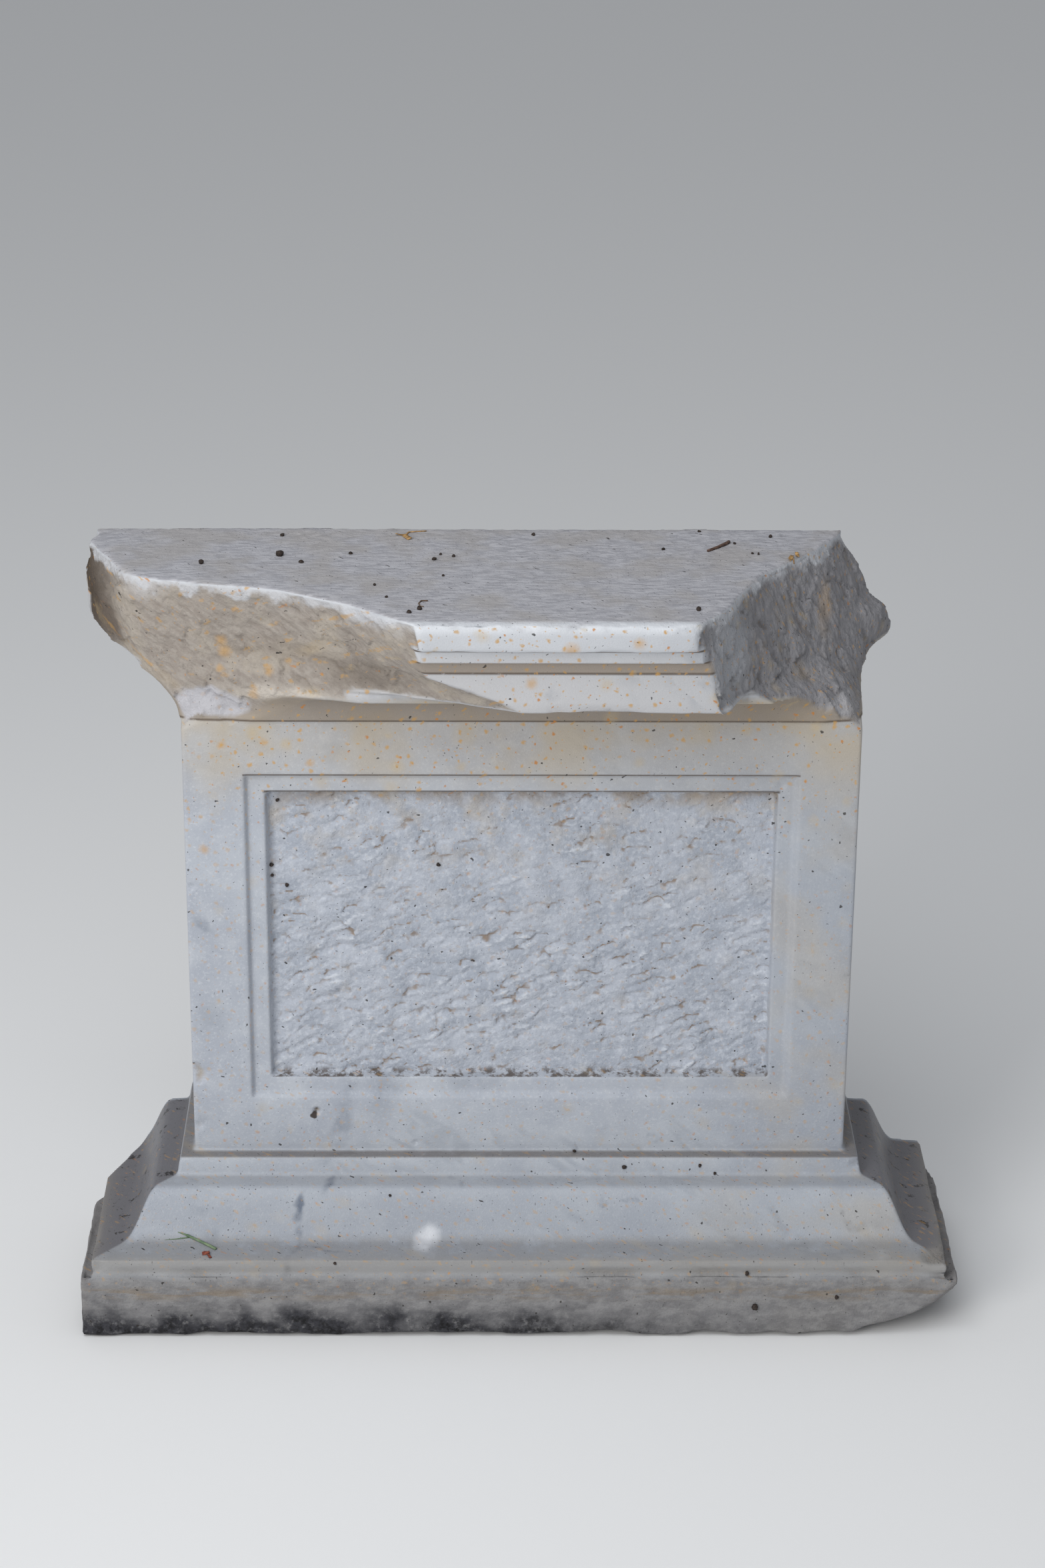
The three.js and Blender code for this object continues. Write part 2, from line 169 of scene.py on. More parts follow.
# %% [markdown]
# ## Levels of the mouldings
# To know which skin of the block is still dressed and which is broken, the script draws the same
# outline that the mason followed: how far each level stands out from the face of the die. A point
# that lies well inside this outline must be on a break. The values are in millimetres, because
# that is how mouldings are measured.

# %% Draw the outline of the mouldings
MM = 0.001
half_die = 260
die_front = -20.5
block_back = 101.5
band_bottom, band_top = 56, 69
cyma_top = 110
die_bottom, die_top = 125, 497
bed_fillet_bottom, soffit = 524, 533
corona_top, crown_fillet_bottom = 566, 577
slab_bottom, block_top = 588, 610
front_plinth, side_plinth = 81, 87
band_out, cyma_foot, cyma_head, foot_fillet = 78, 56, 28, 11
bed_out, corona_out, crown_out, slab_out = 34, 78, 87, 94
panel_half_width, panel_bottom, panel_top = 213.5, 173, 452
panel_border, panel_step, field_depth = 15, 4, 13


def swept_curve(start, pull_start, pull_end, end, steps=8):
    """Points on a curve that leaves start towards its pull and arrives at end from the other."""
    places = []
    for step in range(1, steps + 1):
        t = step / steps
        shares = ((1 - t) ** 3, 3 * t * (1 - t) ** 2, 3 * t * t * (1 - t), t ** 3)
        corners = zip(shares, (start, pull_start, pull_end, end))
        places.append(tuple(np.sum([share * np.array(corner) for share, corner in corners], axis=0)))
    return places


def moulded_outline(plinth):
    """The outline from the ground to the top, as (out from the die, height) in millimetres."""
    run = cyma_foot - cyma_head
    foot = [(plinth, 0), (plinth, band_bottom), (band_out, band_bottom), (band_out, band_top)]
    foot.append((cyma_foot, band_top + 2))
    foot += swept_curve((cyma_foot, band_top + 2), (cyma_foot - 0.43 * run, band_top + 2),
                        (cyma_head + 0.36 * run, cyma_top - 1), (cyma_head, cyma_top - 1))
    foot += [(foot_fillet + 3, cyma_top), (foot_fillet, die_bottom), (0, die_bottom), (0, die_top)]
    bed = swept_curve((2, die_top), (2, die_top + 15), (15, bed_fillet_bottom), (31, bed_fillet_bottom))
    crown = [(bed_out, bed_fillet_bottom), (bed_out, soffit), (corona_out, soffit),
             (corona_out, corona_top), (corona_out + 2, corona_top + 8),
             (corona_out + 7, crown_fillet_bottom), (crown_out, crown_fillet_bottom),
             (crown_out, slab_bottom), (slab_out, slab_bottom), (slab_out, block_top)]
    return foot + bed + crown


print("Outline of", len(moulded_outline(front_plinth)), "points")

# %% [markdown]
# ## A dense skin for the block
# The solid has flat facets and knife-sharp edges. A voxel remesh lays an even net of small squares
# over it, and rounds each edge by about one square, which is just how weathered marble looks. The
# net is fine enough to hold chisel marks as real shape. The solid's own mesh is left alone: a
# merged copy of it is remeshed.

# %% Wrap the block in a fine net
net_size = 0.0016


def settle(piece):
    """Makes a piece's modifiers part of its mesh."""
    drawn = piece.evaluated_get(bpy.context.evaluated_depsgraph_get())
    mesh = bpy.data.meshes.new_from_object(drawn)
    piece.modifiers.clear()
    piece.data = mesh
    mesh.name = piece.name


def merged_copy(solid, name):
    """A new piece with the shape of a solid, its loose triangles joined into one skin."""
    shape = bmesh.new()
    shape.from_mesh(solid.data)
    bmesh.ops.remove_doubles(shape, verts=shape.verts, dist=1e-6)
    return piece_from(shape, name)


marble_block = merged_copy(solid_block, "marble_block")
net = marble_block.modifiers.new("fine_net", "REMESH")
net.mode = "VOXEL"
net.voxel_size = net_size
net.adaptivity = 0
settle(marble_block)
print("Net of", len(marble_block.data.vertices), "points")

# %% [markdown]
# ## Reading and moving many points at once
# A net of half a million points is moved quickest as one table. These helpers read all places
# and all facing directions in millimetres, and write moved places back.

# %% Helpers for moving points


def points_of(piece):
    """Places of all points in millimetres, and the unit directions that they face."""
    count = len(piece.data.vertices)
    places, facings = np.empty(3 * count), np.empty(3 * count, np.float32)
    piece.data.vertices.foreach_get("co", places)
    piece.data.vertex_normals.foreach_get("vector", facings)
    return places.reshape(-1, 3) / MM, facings.reshape(-1, 3).astype(float)


def move_points(piece, places):
    """Writes places in millimetres back to a piece, resting on the ground and not under it."""
    places[:, 2] = np.maximum(places[:, 2], 0)
    piece.data.vertices.foreach_set("co", (places * MM).ravel())
    piece.data.update()


def ramp(values, start, end):
    """0 below start, 1 above end, and a smooth rise between them. End may be the lower one."""
    t = np.clip((values - start) / (end - start), 0, 1)
    return t * t * (3 - 2 * t)


def soft_noise(places, grain, seed, octaves=1):
    """Smooth seeded noise from -1 to 1, with lumps as wide as the grain, in millimetres."""
    total, weight = np.zeros(len(places)), 0.0
    for octave in range(octaves):
        spots = np.asarray(places) * (2.03 ** octave) / grain
        base = np.floor(spots).astype(np.int64)
        ease = (spots - base) ** 2 * (3 - 2 * (spots - base))
        share = 0.5 ** octave
        weight += share
        for corner in itertools.product((0, 1), repeat=3):
            cell = base + corner
            key = cell[:, 0] * 73856093 ^ cell[:, 1] * 19349663 ^ cell[:, 2] * 83492791
            key = (key ^ (seed + octave) * 97911319) & 0xFFFFFFFF
            key = ((key ^ key >> 15) * 2246822519) & 0xFFFFFFFF
            key = ((key ^ key >> 13) * 3266489917) & 0xFFFFFFFF
            value = ((key ^ key >> 16) & 0xFFFF) / 32767.5 - 1
            total += share * value * np.prod(np.where(corner, ease, 1 - ease), axis=1)
    return total / weight


print("Noise check:", np.round(soft_noise(np.array([[1.0, 2.0, 3.0], [40.0, 5.0, 6.0]]), 7, 1), 3))

# %% [markdown]
# ## Which skin is dressed and which is broken
# Each point's depth under the mason's outline is measured. On the mouldings it is nearly nothing.
# On a break it grows at once. The sunk panel and the back lie under the outline on purpose, so
# they are told apart by where they are and which way they face.

# %% Measure the depth under the dressed surface


def distance_to_outline(out, height, outline):
    """How far each place is from the outline, in millimetres."""
    best = np.full(len(out), np.inf)
    for (out_a, height_a), (out_b, height_b) in zip(outline, outline[1:]):
        run, rise = out_b - out_a, height_b - height_a
        along = ((out - out_a) * run + (height - height_a) * rise) / (run ** 2 + rise ** 2)
        along = np.clip(along, 0, 1)
        best = np.minimum(best, np.hypot(out - out_a - along * run, height - height_a - along * rise))
    return best


def depth_under_dressing(places):
    """How far each point lies under the surface that the mason left, in millimetres."""
    x, y, z = places.T
    from_front = distance_to_outline(die_front - y, z, moulded_outline(front_plinth))
    from_side = distance_to_outline(np.abs(x) - half_die, z, moulded_outline(side_plinth))
    return np.minimum.reduce([from_front, from_side, np.abs(block_top - z)])


def zones_of(places, facings):
    """Shares from 0 to 1 of each kind of surface at each point."""
    x, y, z = places.T
    depth = depth_under_dressing(places)
    in_panel = (np.abs(x) < panel_half_width + 1) & (z > panel_bottom - 1) & (z < panel_top + 1)
    in_panel &= (y < die_front + 30) & (y > die_front - 3)
    back = ramp(facings[:, 1], 0.5, 0.8) * ramp(y, block_back - 9, block_back - 7)
    under = ramp(-facings[:, 2], 0.6, 0.9) * ramp(z, 4, 2)
    field = in_panel * ramp(y - die_front, panel_step + 3, panel_step + 6)
    field *= ramp(-facings[:, 1], 0.3, 0.6)
    broken = ramp(depth, 1.4, 4.0) * (1 - back) * (1 - under) * (1 - in_panel)
    on_left = ramp(x, 60, 20)
    in_cornice = ramp(z, die_top - 30, die_top - 20)
    return {"depth": depth, "back": back, "under": under, "field": field, "broken": broken,
            "left_break": broken * (on_left * in_cornice),
            "right_break": broken * ((1 - on_left) * in_cornice)}


places, facings = points_of(marble_block)
zones = zones_of(places, facings)
for name, share in zones.items():
    print(name, round(float(share.mean()), 3))

# %% [markdown]
# ## Smooth the net and round the worn arrises
# The remesh leaves small steps on sloping faces, so the whole skin is smoothed a little. The breaks
# were drawn with few facets, so they are smoothed much more, and most of all where they meet the
# top, because that arris has been rubbed round. A vertex group tells each Smooth modifier where.
# To find the arris, the mask of the breaks is blurred: each point takes the mean of its
# neighbours several times, and where the result is near a half, the edge of the mask is close.

# %% Smooth away the steps, the facets and the sharp arrises


def blurred(piece, shares, rounds):
    """The shares after each point took the mean of itself and its neighbours several times."""
    count = len(piece.data.vertices)
    ends = np.empty(2 * len(piece.data.edges), np.int32)
    piece.data.edges.foreach_get("vertices", ends)
    one, other = ends.reshape(-1, 2).T
    members = 1 + np.bincount(ends, minlength=count)
    for _ in range(rounds):
        gathered = np.bincount(one, shares[other], count) + np.bincount(other, shares[one], count)
        shares = (shares + gathered) / members
    return shares


def smooth_where(piece, name, shares, rounds):
    """Adds a Smooth modifier that works as strongly at each point as its share says."""
    group = piece.vertex_groups.new(name=name)
    for step in range(1, 11):
        chosen = np.flatnonzero(np.ceil(shares * 10) == step)
        group.add(chosen.tolist(), step / 10, "REPLACE")
    smoothing = piece.modifiers.new(name, "SMOOTH")
    smoothing.factor = 0.5
    smoothing.iterations = rounds
    smoothing.vertex_group = name


nearly_broken = blurred(marble_block, zones["broken"], 8)
rubbed = 4 * nearly_broken * (1 - nearly_broken) * ramp(places[:, 2], slab_bottom, block_top - 8)
smooth_where(marble_block, "everywhere", np.ones(len(places)), 2)
smooth_where(marble_block, "facets", zones["broken"], 24)
smooth_where(marble_block, "rubbed_arris", rubbed, 40)
settle(marble_block)
marble_block.vertex_groups.clear()
places, facings = points_of(marble_block)
zones = zones_of(places, facings)
print("Smoothed", len(places), "points, arris rubbed at", int((rubbed > 0.5).sum()))

# %% [markdown]
# ## Chisel marks in the panel
# The field of the panel was dressed back with a point. Each blow broke out a shallow scale of
# stone: a crevice at its upper edge, a steep bright lip under it, then a slow fall to the next
# crevice. The marks run up to the right. Scattered cells, stretched along that slope, give each
# blow its own place, size and strength.

# %% Cut the chisel marks


def scattered_cells(across, along, seed):
    """For each point: its place in the nearest of many scattered cells, that cell's random
    numbers, and how near the point is to the edge of the cell."""
    column, row = np.floor(across), np.floor(along)
    nearest = np.full(len(across), np.inf)
    second = np.full(len(across), np.inf)
    offset = np.zeros((len(across), 2))
    number = np.zeros((len(across), 2))
    for step_across, step_along in itertools.product((-1, 0, 1), repeat=2):
        cell = np.stack([column + step_across, row + step_along, np.full(len(column), seed)], axis=1)
        spread = [soft_noise(cell + 0.001, 1.0, seed + k) for k in range(4)]
        away_across = across - (cell[:, 0] + 0.5 + 0.42 * spread[0])
        away_along = along - (cell[:, 1] + 0.5 + 0.42 * spread[1])
        distance = away_across ** 2 + away_along ** 2
        closer = distance < nearest
        second = np.where(closer, nearest, np.minimum(second, distance))
        nearest = np.where(closer, distance, nearest)
        offset[closer] = np.stack([away_across, away_along], axis=1)[closer]
        number[closer] = np.stack([spread[2], spread[3]], axis=1)[closer]
    return offset, number, np.sqrt(second) - np.sqrt(nearest)


def chisel_scales(x, z, length, height, slope, seed):
    """Relief of overlapping blows, about from -1 to 1, and how deep each point is in a crevice."""
    along_blow = x * math.cos(slope) + z * math.sin(slope)
    over_blow = z * math.cos(slope) - x * math.sin(slope)
    wander = np.stack([x, z, np.zeros(len(x))], axis=1)
    along_blow = along_blow + 0.3 * length * soft_noise(wander, 1.6 * length, seed + 20)
    over_blow = over_blow + 0.5 * height * soft_noise(wander, 1.2 * length, seed + 21)
    offset, number, edge = scattered_cells(along_blow / length, over_blow / height, seed)
    up = offset[:, 1] + 0.35 * offset[:, 0] ** 2
    strength = 0.35 + 0.65 * ramp(number[:, 0], -0.6, 0.9)
    lip = ramp(up, 0.45, 0.12) * (0.35 + 0.65 * ramp(up, -0.75, 0.15))
    relief = strength * (1.5 * lip - 0.6) + 0.35 * number[:, 1] * offset[:, 0]
    crevice = strength * ramp(up, 0.12, 0.42) * ramp(edge, 0.35, 0.05)
    return relief, crevice


chosen = zones["field"] > 0
field_places = places[chosen]
x, z = field_places[:, 0], field_places[:, 2]
big_blows, big_crevices = chisel_scales(x, z, 17, 9.5, math.radians(20), 5)
small_blows, small_crevices = chisel_scales(x, z, 7.5, 5, math.radians(26), 9)
crystals = soft_noise(field_places, 2.6, 13, octaves=2)
vigour = 0.4 + 0.75 * ramp(soft_noise(field_places, 48, 15, octaves=2), -0.45, 0.35)
bulges = soft_noise(field_places, 13, 17, octaves=3)
field_relief = vigour * (1.2 * big_blows + 0.65 * small_blows) + 1.1 * bulges + 0.35 * crystals
hollow = np.zeros(len(places))
# Crests go into the hollow mask below zero; the marble paints a highlight on them.
crests = ramp(field_relief, 0.6, 2.2)
depths = np.clip(big_crevices + 0.4 * small_crevices, 0, 1) - 0.8 * crests
hollow[chosen] = zones["field"][chosen] * depths
relief = np.zeros(len(places))
relief[chosen] = field_relief * zones["field"][chosen]
print("Chisel relief from", round(float(relief.min()), 2), "to", round(float(relief.max()), 2), "mm")

# %% [markdown]
# ## The breaks
# Marble breaks along its crystals into overlapping scales with fine fibres on them. On the left
# break they fall to the right, and on the right break nearly straight down. Scattered cells that
# are each tilted their own way give the scales, at two sizes, and noise stretched along the fall
# gives the fibres.

# %% Roughen the breaks


def fibres(places, fall, length, width, seed):
    """Ridged noise whose lumps are long down the fall line and narrow across it."""
    fall = np.array(fall, float) / np.linalg.norm(fall)
    along = places @ fall
    spread = places - np.outer(along, fall)
    squeezed = spread + np.outer(along * width / length, fall)
    wandering = squeezed + 0.4 * width * soft_noise(places, 4 * width, seed)[:, None]
    ridges = 1 - 2 * np.abs(soft_noise(wandering, width, seed + 1, octaves=2))
    return 0.6 * ridges + 0.4 * soft_noise(wandering, 0.6 * width, seed + 3)


def scales(across, up, length, height, slope, seed):
    """Overlapping tilted facets, about from -1 to 1, stretched along a slope."""
    along = across * math.cos(slope) + up * math.sin(slope)
    over = up * math.cos(slope) - across * math.sin(slope)
    flat = np.stack([across, up, np.zeros(len(up))], axis=1)
    along = along + 0.5 * length * soft_noise(flat, 1.5 * length, seed + 30)
    over = over + 0.5 * height * soft_noise(flat, 1.5 * height, seed + 31)
    offset, number, _ = scattered_cells(along / length, over / height, seed)
    return 0.5 * number[:, 0] + 1.2 * (number[:, 1] * offset[:, 0] + number[:, 0] * offset[:, 1])


for zone, sideways, degrees, fall, seed in (
    ("left_break", (0.95, -0.3), -32, (0.85, 0, -0.5), 31),
    ("right_break", (0.5, 0.85), -76, (0.3, -0.2, -0.9), 37),
):
    chosen = zones[zone] > 0
    skin_places, slope = places[chosen], math.radians(degrees)
    sideways_places, up = skin_places[:, :2] @ np.array(sideways), skin_places[:, 2]
    rough = 1.9 * scales(sideways_places, up, 27, 15, slope, seed)
    rough += 0.9 * scales(sideways_places, up, 10, 6, slope, seed + 40)
    rough += (1.3 * soft_noise(skin_places, 42, seed + 9, octaves=2)
              + 0.4 * fibres(skin_places, fall, 14, 4, seed))
    rough += 0.4 * soft_noise(skin_places, 3.2, seed + 11, octaves=2)
    relief[chosen] += zones[zone][chosen] * rough
    hollow[chosen] = zones[zone][chosen] * ramp(-rough, 0.6, 2.6)
    print(zone, int(chosen.sum()), "points")

# %% [markdown]
# ## The rougher dressed faces
# The front of the plinth was left from the point, the back was only split, and the back of the top
# has a punched key for the mortar of the next stone. The polished mouldings are not quite true
# either: they swell and sink by a tenth of a millimetre, which breaks up their highlights.

# %% Roughen the plinth, the back and the top
x, y, z = places.T
dressed = (1 - zones["broken"]) * (1 - zones["field"]) * (1 - zones["back"]) * (1 - zones["under"])
plinth_face = dressed * ramp(z, band_bottom + 1, band_bottom - 4)
on_top = dressed * ramp(z, block_top - 2, block_top - 1)
punched_front = 36 - 0.16 * x + 14 * soft_noise(places, 60, 51)
punched_top = on_top * ramp(y - punched_front, -12, 6)
slab_face = dressed * ramp(z, slab_bottom - 1, slab_bottom + 1) * ramp(die_front - y, 86, 90)
corona_face = dressed * ramp(z, soffit - 1, soffit + 1) * ramp(z, corona_top, corona_top - 2)
for share, grain, seed, height in (
    (plinth_face, 9, 61, 1.0), (zones["back"], 10, 63, 1.2), (punched_top, 5, 65, 0.7),
    (slab_face, 16, 66, 0.9), (corona_face, 20, 68, 0.35), (dressed, 26, 67, 0.12),
):
    chosen = share > 0
    relief[chosen] += height * share[chosen] * soft_noise(places[chosen], grain, seed, octaves=3)
print("Punched top:", int((punched_top > 0.5).sum()), "points")

# %% [markdown]
# ## Knocks and chips
# Small losses along the arrises are named by where they show in the photograph. Each one pushes the
# skin in under a soft bowl with a ragged rim. A bruise does the same, but very shallow. Arrises that
# are worn all along, such as the top one of the slab, are taken back by an uneven amount.

# %% Knock the chips off
chips = (
    ("left_arris_chip", (297, 1612), 11, 3.4), ("left_arris_nick", (299, 1688), 6, 2.0),
    ("left_arris_upper_nick", (286, 1330), 5, 1.6), ("right_arris_nick", (1272, 1465), 4, 1.4),
    ("fillet_end_chip", (1284, 1745), 7, 2.4), ("rail_dent", (623, 1714), 3.2, 1.6),
    ("cyma_bruise", (640, 1858), 8, 0.8), ("band_right_corner", (1410, 1886), 22, 4.5),
    ("band_left_wear", (146, 1900), 7, 1.8), ("field_corner_chip", (1172, 1180), 5, 1.5),
    ("crown_left_corner", (126, 802), 30, 10.0), ("corona_right_foot", (1090, 1062), 9, 3.0),
    ("fresh_chip_high", (300, 1046), 17, 3.5), ("fresh_chip_low", (340, 1060), 15, 3.0),
)
worn_arrises = (
    ("slab_top", slab_out, block_top, 11, 3.4, 20), ("slab_foot", slab_out, slab_bottom, 4, 1.2, 22),
    ("corona_foot", corona_out, soffit, 10, 3.6, 26), ("band_top", band_out, band_top, 6, 1.2, 30),
    ("band_foot", band_out, band_bottom, 8, 1.6, 26), ("plinth_top", front_plinth, band_bottom, 11, 3.0, 30),
)
inward = np.zeros_like(places)
for name, pixel, radius, depth in chips:
    centre, facing = on_stone(*pixel)
    away = np.linalg.norm(places - np.array(centre) / MM, axis=1)
    chosen = away < 1.5 * radius
    ragged_away = away[chosen] * (1 + 0.35 * soft_noise(places[chosen], 0.6 * radius, 71))
    bowl = depth * ramp(ragged_away, radius, 0.2 * radius)
    inward[chosen] += bowl[:, None] * np.array(facing)
    print(name, int(chosen.sum()), "points")
out = np.maximum(die_front - y, np.abs(x) - half_die)
for name, arris_out, arris_height, reach, depth, grain in worn_arrises:
    away = np.hypot(out - arris_out, z - arris_height)
    chosen = away < reach
    bites = 0.25 + 0.75 * ramp(soft_noise(places[chosen], grain, 75, octaves=2), -0.3, 0.5)
    inward[chosen] += (depth * bites * ramp(away[chosen], reach, 0))[:, None] * facings[chosen]
    print(name, int(chosen.sum()), "points")
move_points(marble_block, places + facings * relief[:, None] - inward)

# %% [markdown]
# ## Fewer triangles
# The net has over a million triangles, most of them on plain faces that don't need them. Decimate
# merges those first and keeps the marks. The mask of the hollows is written as an attribute first,
# so Decimate carries it along. The other masks for the marble's colours are written afterwards,
# point by point, from where each point then is.

# %% Thin the net
triangle_budget = 192000
triangles = 2 * len(marble_block.data.polygons)
thinning = marble_block.modifiers.new("thin_plain_faces", "DECIMATE")
thinning.ratio = min(1, triangle_budget / triangles)
thinning.use_collapse_triangulate = True


def write_mask(piece, name, shares):
    """Stores one share from 0 to 1 for each point under a name that a material can read."""
    mask = piece.data.attributes.new(name, "FLOAT", "POINT")
    mask.data.foreach_set("value", np.ascontiguousarray(shares, np.float32))


def round_off(piece):
    """Shades all faces of a piece smooth."""
    piece.data.polygons.foreach_set("use_smooth", [True] * len(piece.data.polygons))


write_mask(marble_block, "hollow", hollow)
settle(marble_block)
round_off(marble_block)
places, facings = points_of(marble_block)
zones = zones_of(places, facings)
for name in ("broken", "field"):
    write_mask(marble_block, name, zones[name])
near_top = ramp(block_top - places[:, 2], 20, 2) * ramp(zones["depth"], 0.3, 1.6)
write_mask(marble_block, "ridge", near_top * (1 - zones["back"]))
print("Marble block:", len(marble_block.data.polygons), "triangles")

# %% [markdown]
# ## Short words for material nodes
# A material is a recipe of nodes. Written out one by one, the nodes hide the recipe, so this small
# class gives each kind of step a short name: noise, spots, a stain at a place, a share of
# something, a mix of two colours, a coat laid over all the colours so far. Every pattern reads
# Object coordinates, so it is fixed to the stone. A Mapping node of the Texture kind takes a
# pattern's centre, turn and size directly.

# %% A small recipe book for materials


def paint(code, alpha=1.0):
    """A colour written as on a paint card, such as #b9bfc7, in the linear values nodes use."""
    shares = [int(code[k:k + 2], 16) / 255 for k in (1, 3, 5)]
    linear = [s / 12.92 if s <= 0.04045 else ((s + 0.055) / 1.055) ** 2.4 for s in shares]
    return (*linear, alpha)


class Recipe:
    """One material and short words for its nodes."""

    def __init__(self, name):
        self.material = bpy.data.materials.new(name)
        self.material.use_nodes = True
        self.tree = self.material.node_tree
        self.shader = self.tree.nodes["Principled BSDF"]
        self.place = self.node("TexCoord").outputs["Object"]
        self.colour = "#ffffff"

    def node(self, kind, inputs=None, **settings):
        """Adds a node, sets it, and fills its inputs with values or with other outputs."""
        node = self.tree.nodes.new("ShaderNode" + kind)
        for name, value in settings.items():
            setattr(node, name, value)
        for name, value in (inputs or {}).items():
            self.fill(node.inputs[name], value)
        return node

    def fill(self, socket, value):
        """Links another output to a socket, or sets a value or a paint on it."""
        if isinstance(value, bpy.types.NodeSocket):
            self.tree.links.new(value, socket)
        else:
            socket.default_value = paint(value) if isinstance(value, str) else value

    def calc(self, operation, *values):
        """The operation on the first two values, then on that result and the next, and so on."""
        result = values[0]
        for value in values[1:]:
            result = self.node("Math", {0: result, 1: value}, operation=operation).outputs[0]
        return result

    def product(self, *values):
        return self.calc("MULTIPLY", *values)

    def highest(self, *values):
        return self.calc("MAXIMUM", *values)

    def rest(self, *shares):
        """What the product of some shares leaves of 1."""
        return self.calc("SUBTRACT", 1.0, self.product(*shares))

    def centred(self, noise):
        return self.calc("SUBTRACT", noise, 0.5)

    def away(self, value, centre=0.0):
        """How far a value is from a centre, on either side."""
        offset = self.calc("SUBTRACT", value, centre)
        return self.node("Math", {0: offset}, operation="ABSOLUTE").outputs[0]

    def share(self, value, start, end, most=1.0):
        """0 up to start, then a smooth rise to most at end. End may be the lower one."""
        node = self.node("MapRange", {
            "Value": value, "From Min": start, "From Max": end, "To Min": 0.0, "To Max": most,
        }, interpolation_type="SMOOTHSTEP", clamp=True)
        return node.outputs["Result"]

    def mix(self, share, under, over):
        return self.node("Mix", {"Factor": share, 6: under, 7: over}, data_type="RGBA").outputs[2]

    def lay(self, coat, *shares):
        """Lays a coat over the colours so far, as thick as the product of some shares."""
        self.colour = self.mix(self.product(*shares), self.colour, coat)

    def spread(self, size, centre=(0, 0, 0), turn=(0, 0, 0), place=None):
        """Coordinates that count in units of size, in millimetres, around a centre."""
        sizes = [s * MM for s in (size if isinstance(size, tuple) else (size, size, size))]
        node = self.node("Mapping", {
            "Vector": place or self.place, "Location": centre, "Rotation": turn, "Scale": sizes,
        }, vector_type="TEXTURE")
        return node.outputs["Vector"]

    def noise_node(self, vector, detail, rough=0.5):
        return self.node("TexNoise", {
            "Vector": vector, "Scale": 1.0, "Detail": detail, "Roughness": rough,
        })

    def noise(self, size, detail=2.0, seed=0, turn=(0, 0, 0), rough=0.55):
        """Noise with lumps of a size in millimetres, from 0 to 1 with most of it near a half."""
        vector = self.spread(size, (0.37 * seed, 0.11 * seed, -0.23 * seed), turn)
        return self.noise_node(vector, detail, rough).outputs["Fac"]

    def push(self, size, detail, reach):
        """A push of up to the reach that changes over a size, both in millimetres."""
        direction = self.noise_node(self.spread(size), detail).outputs["Color"]
        inputs = {"Vector": direction, "Scale": reach * MM}
        return self.node("VectorMath", inputs, operation="SCALE").outputs["Vector"]

    def moved(self, place, *pushes):
        for push in pushes:
            place = self.node("VectorMath", {0: place, 1: push}, operation="ADD").outputs["Vector"]
        return place

    def spots(self, cell, biggest, kept, seed=0, soft=0.45, place=None):
        """Scattered round spots in the first two coordinates: cell is their spacing in
        millimetres, biggest the largest radius as a share of it, and kept the share of cells
        that have a spot at all."""
        vector = self.spread(cell, (0.21 * seed, -0.17 * seed, 0.13 * seed), place=place)
        node = self.node("TexVoronoi", {"Vector": vector, "Scale": 1.0}, voronoi_dimensions="2D")
        number = self.node("SeparateColor", {"Color": node.outputs["Color"]}).outputs["Red"]
        radius = self.highest(self.share(number, 1 - kept, 1.0, biggest), 0.001)
        return self.share(node.outputs["Distance"], radius, self.product(radius, soft))

    def stain(self, centre, radii, turn=(0, 0, 0), place=None):
        """1 in the middle of a soft oval and 0 at its rim; radii are in millimetres."""
        vector = self.spread(radii, centre, turn, place)
        return self.node("TexGradient", {"Vector": vector}, gradient_type="SPHERICAL").outputs["Fac"]

    def mask(self, name):
        return self.node("Attribute", attribute_name=name).outputs["Fac"]

    def finish(self, bumps, strength, distance):
        """Gives the shader the colours laid so far and a bump, and returns the material."""
        bump = self.node("Bump", {"Height": bumps, "Strength": strength, "Distance": distance * MM})
        self.fill(self.shader.inputs["Normal"], bump.outputs["Normal"])
        self.fill(self.shader.inputs["Base Color"], self.colour)
        return self.material


print("Recipe words:", [word for word in vars(Recipe) if not word.startswith("_")])

# %% [markdown]
# ## The marble
# The stone is a pale bluish grey with grey veins. Years outdoors have laid other colours over it,
# and the recipe lays them in the same order: clean stone, yellow film, veins, the paler crystals
# of the chiselled field, the beige and grey of the breaks, dust on the top, dirt and painted shade
# in the crevices, dirt on the sheltered sides, soot and soil at the foot, then ochre spots and black
# specks. Some coats are painted light and shade, wholly or in part: a darker grey towards the
# bottom and the right, painted shade in the cavettos, the quirks, the panel's step and on the right
# break, and painted highlights on the chisel crests, the rubbed ridge of the breaks and the slab's
# front arris. Where a coat lies is mostly a matter of height, so the levels of the mouldings serve
# again here.

# %% Clean stone and its veins
marble = Recipe("marble")
across, depthwise, upward = marble.node("SeparateXYZ", {"Vector": marble.place}).outputs
normal = marble.node("NewGeometry").outputs["Normal"]
faces_up = marble.node("SeparateXYZ", {"Vector": normal}).outputs["Z"]


def by_width(start, end, most=1.0):
    """A share that changes from left to right, between two places in millimetres."""
    return marble.share(across, start * MM, end * MM, most)


def by_depth(start, end, most=1.0):
    """A share that changes from front to back, between two places in millimetres."""
    return marble.share(depthwise, start * MM, end * MM, most)


def by_height(start, end, most=1.0):
    """A share that changes upwards, between two levels in millimetres."""
    return marble.share(upward, start * MM, end * MM, most)


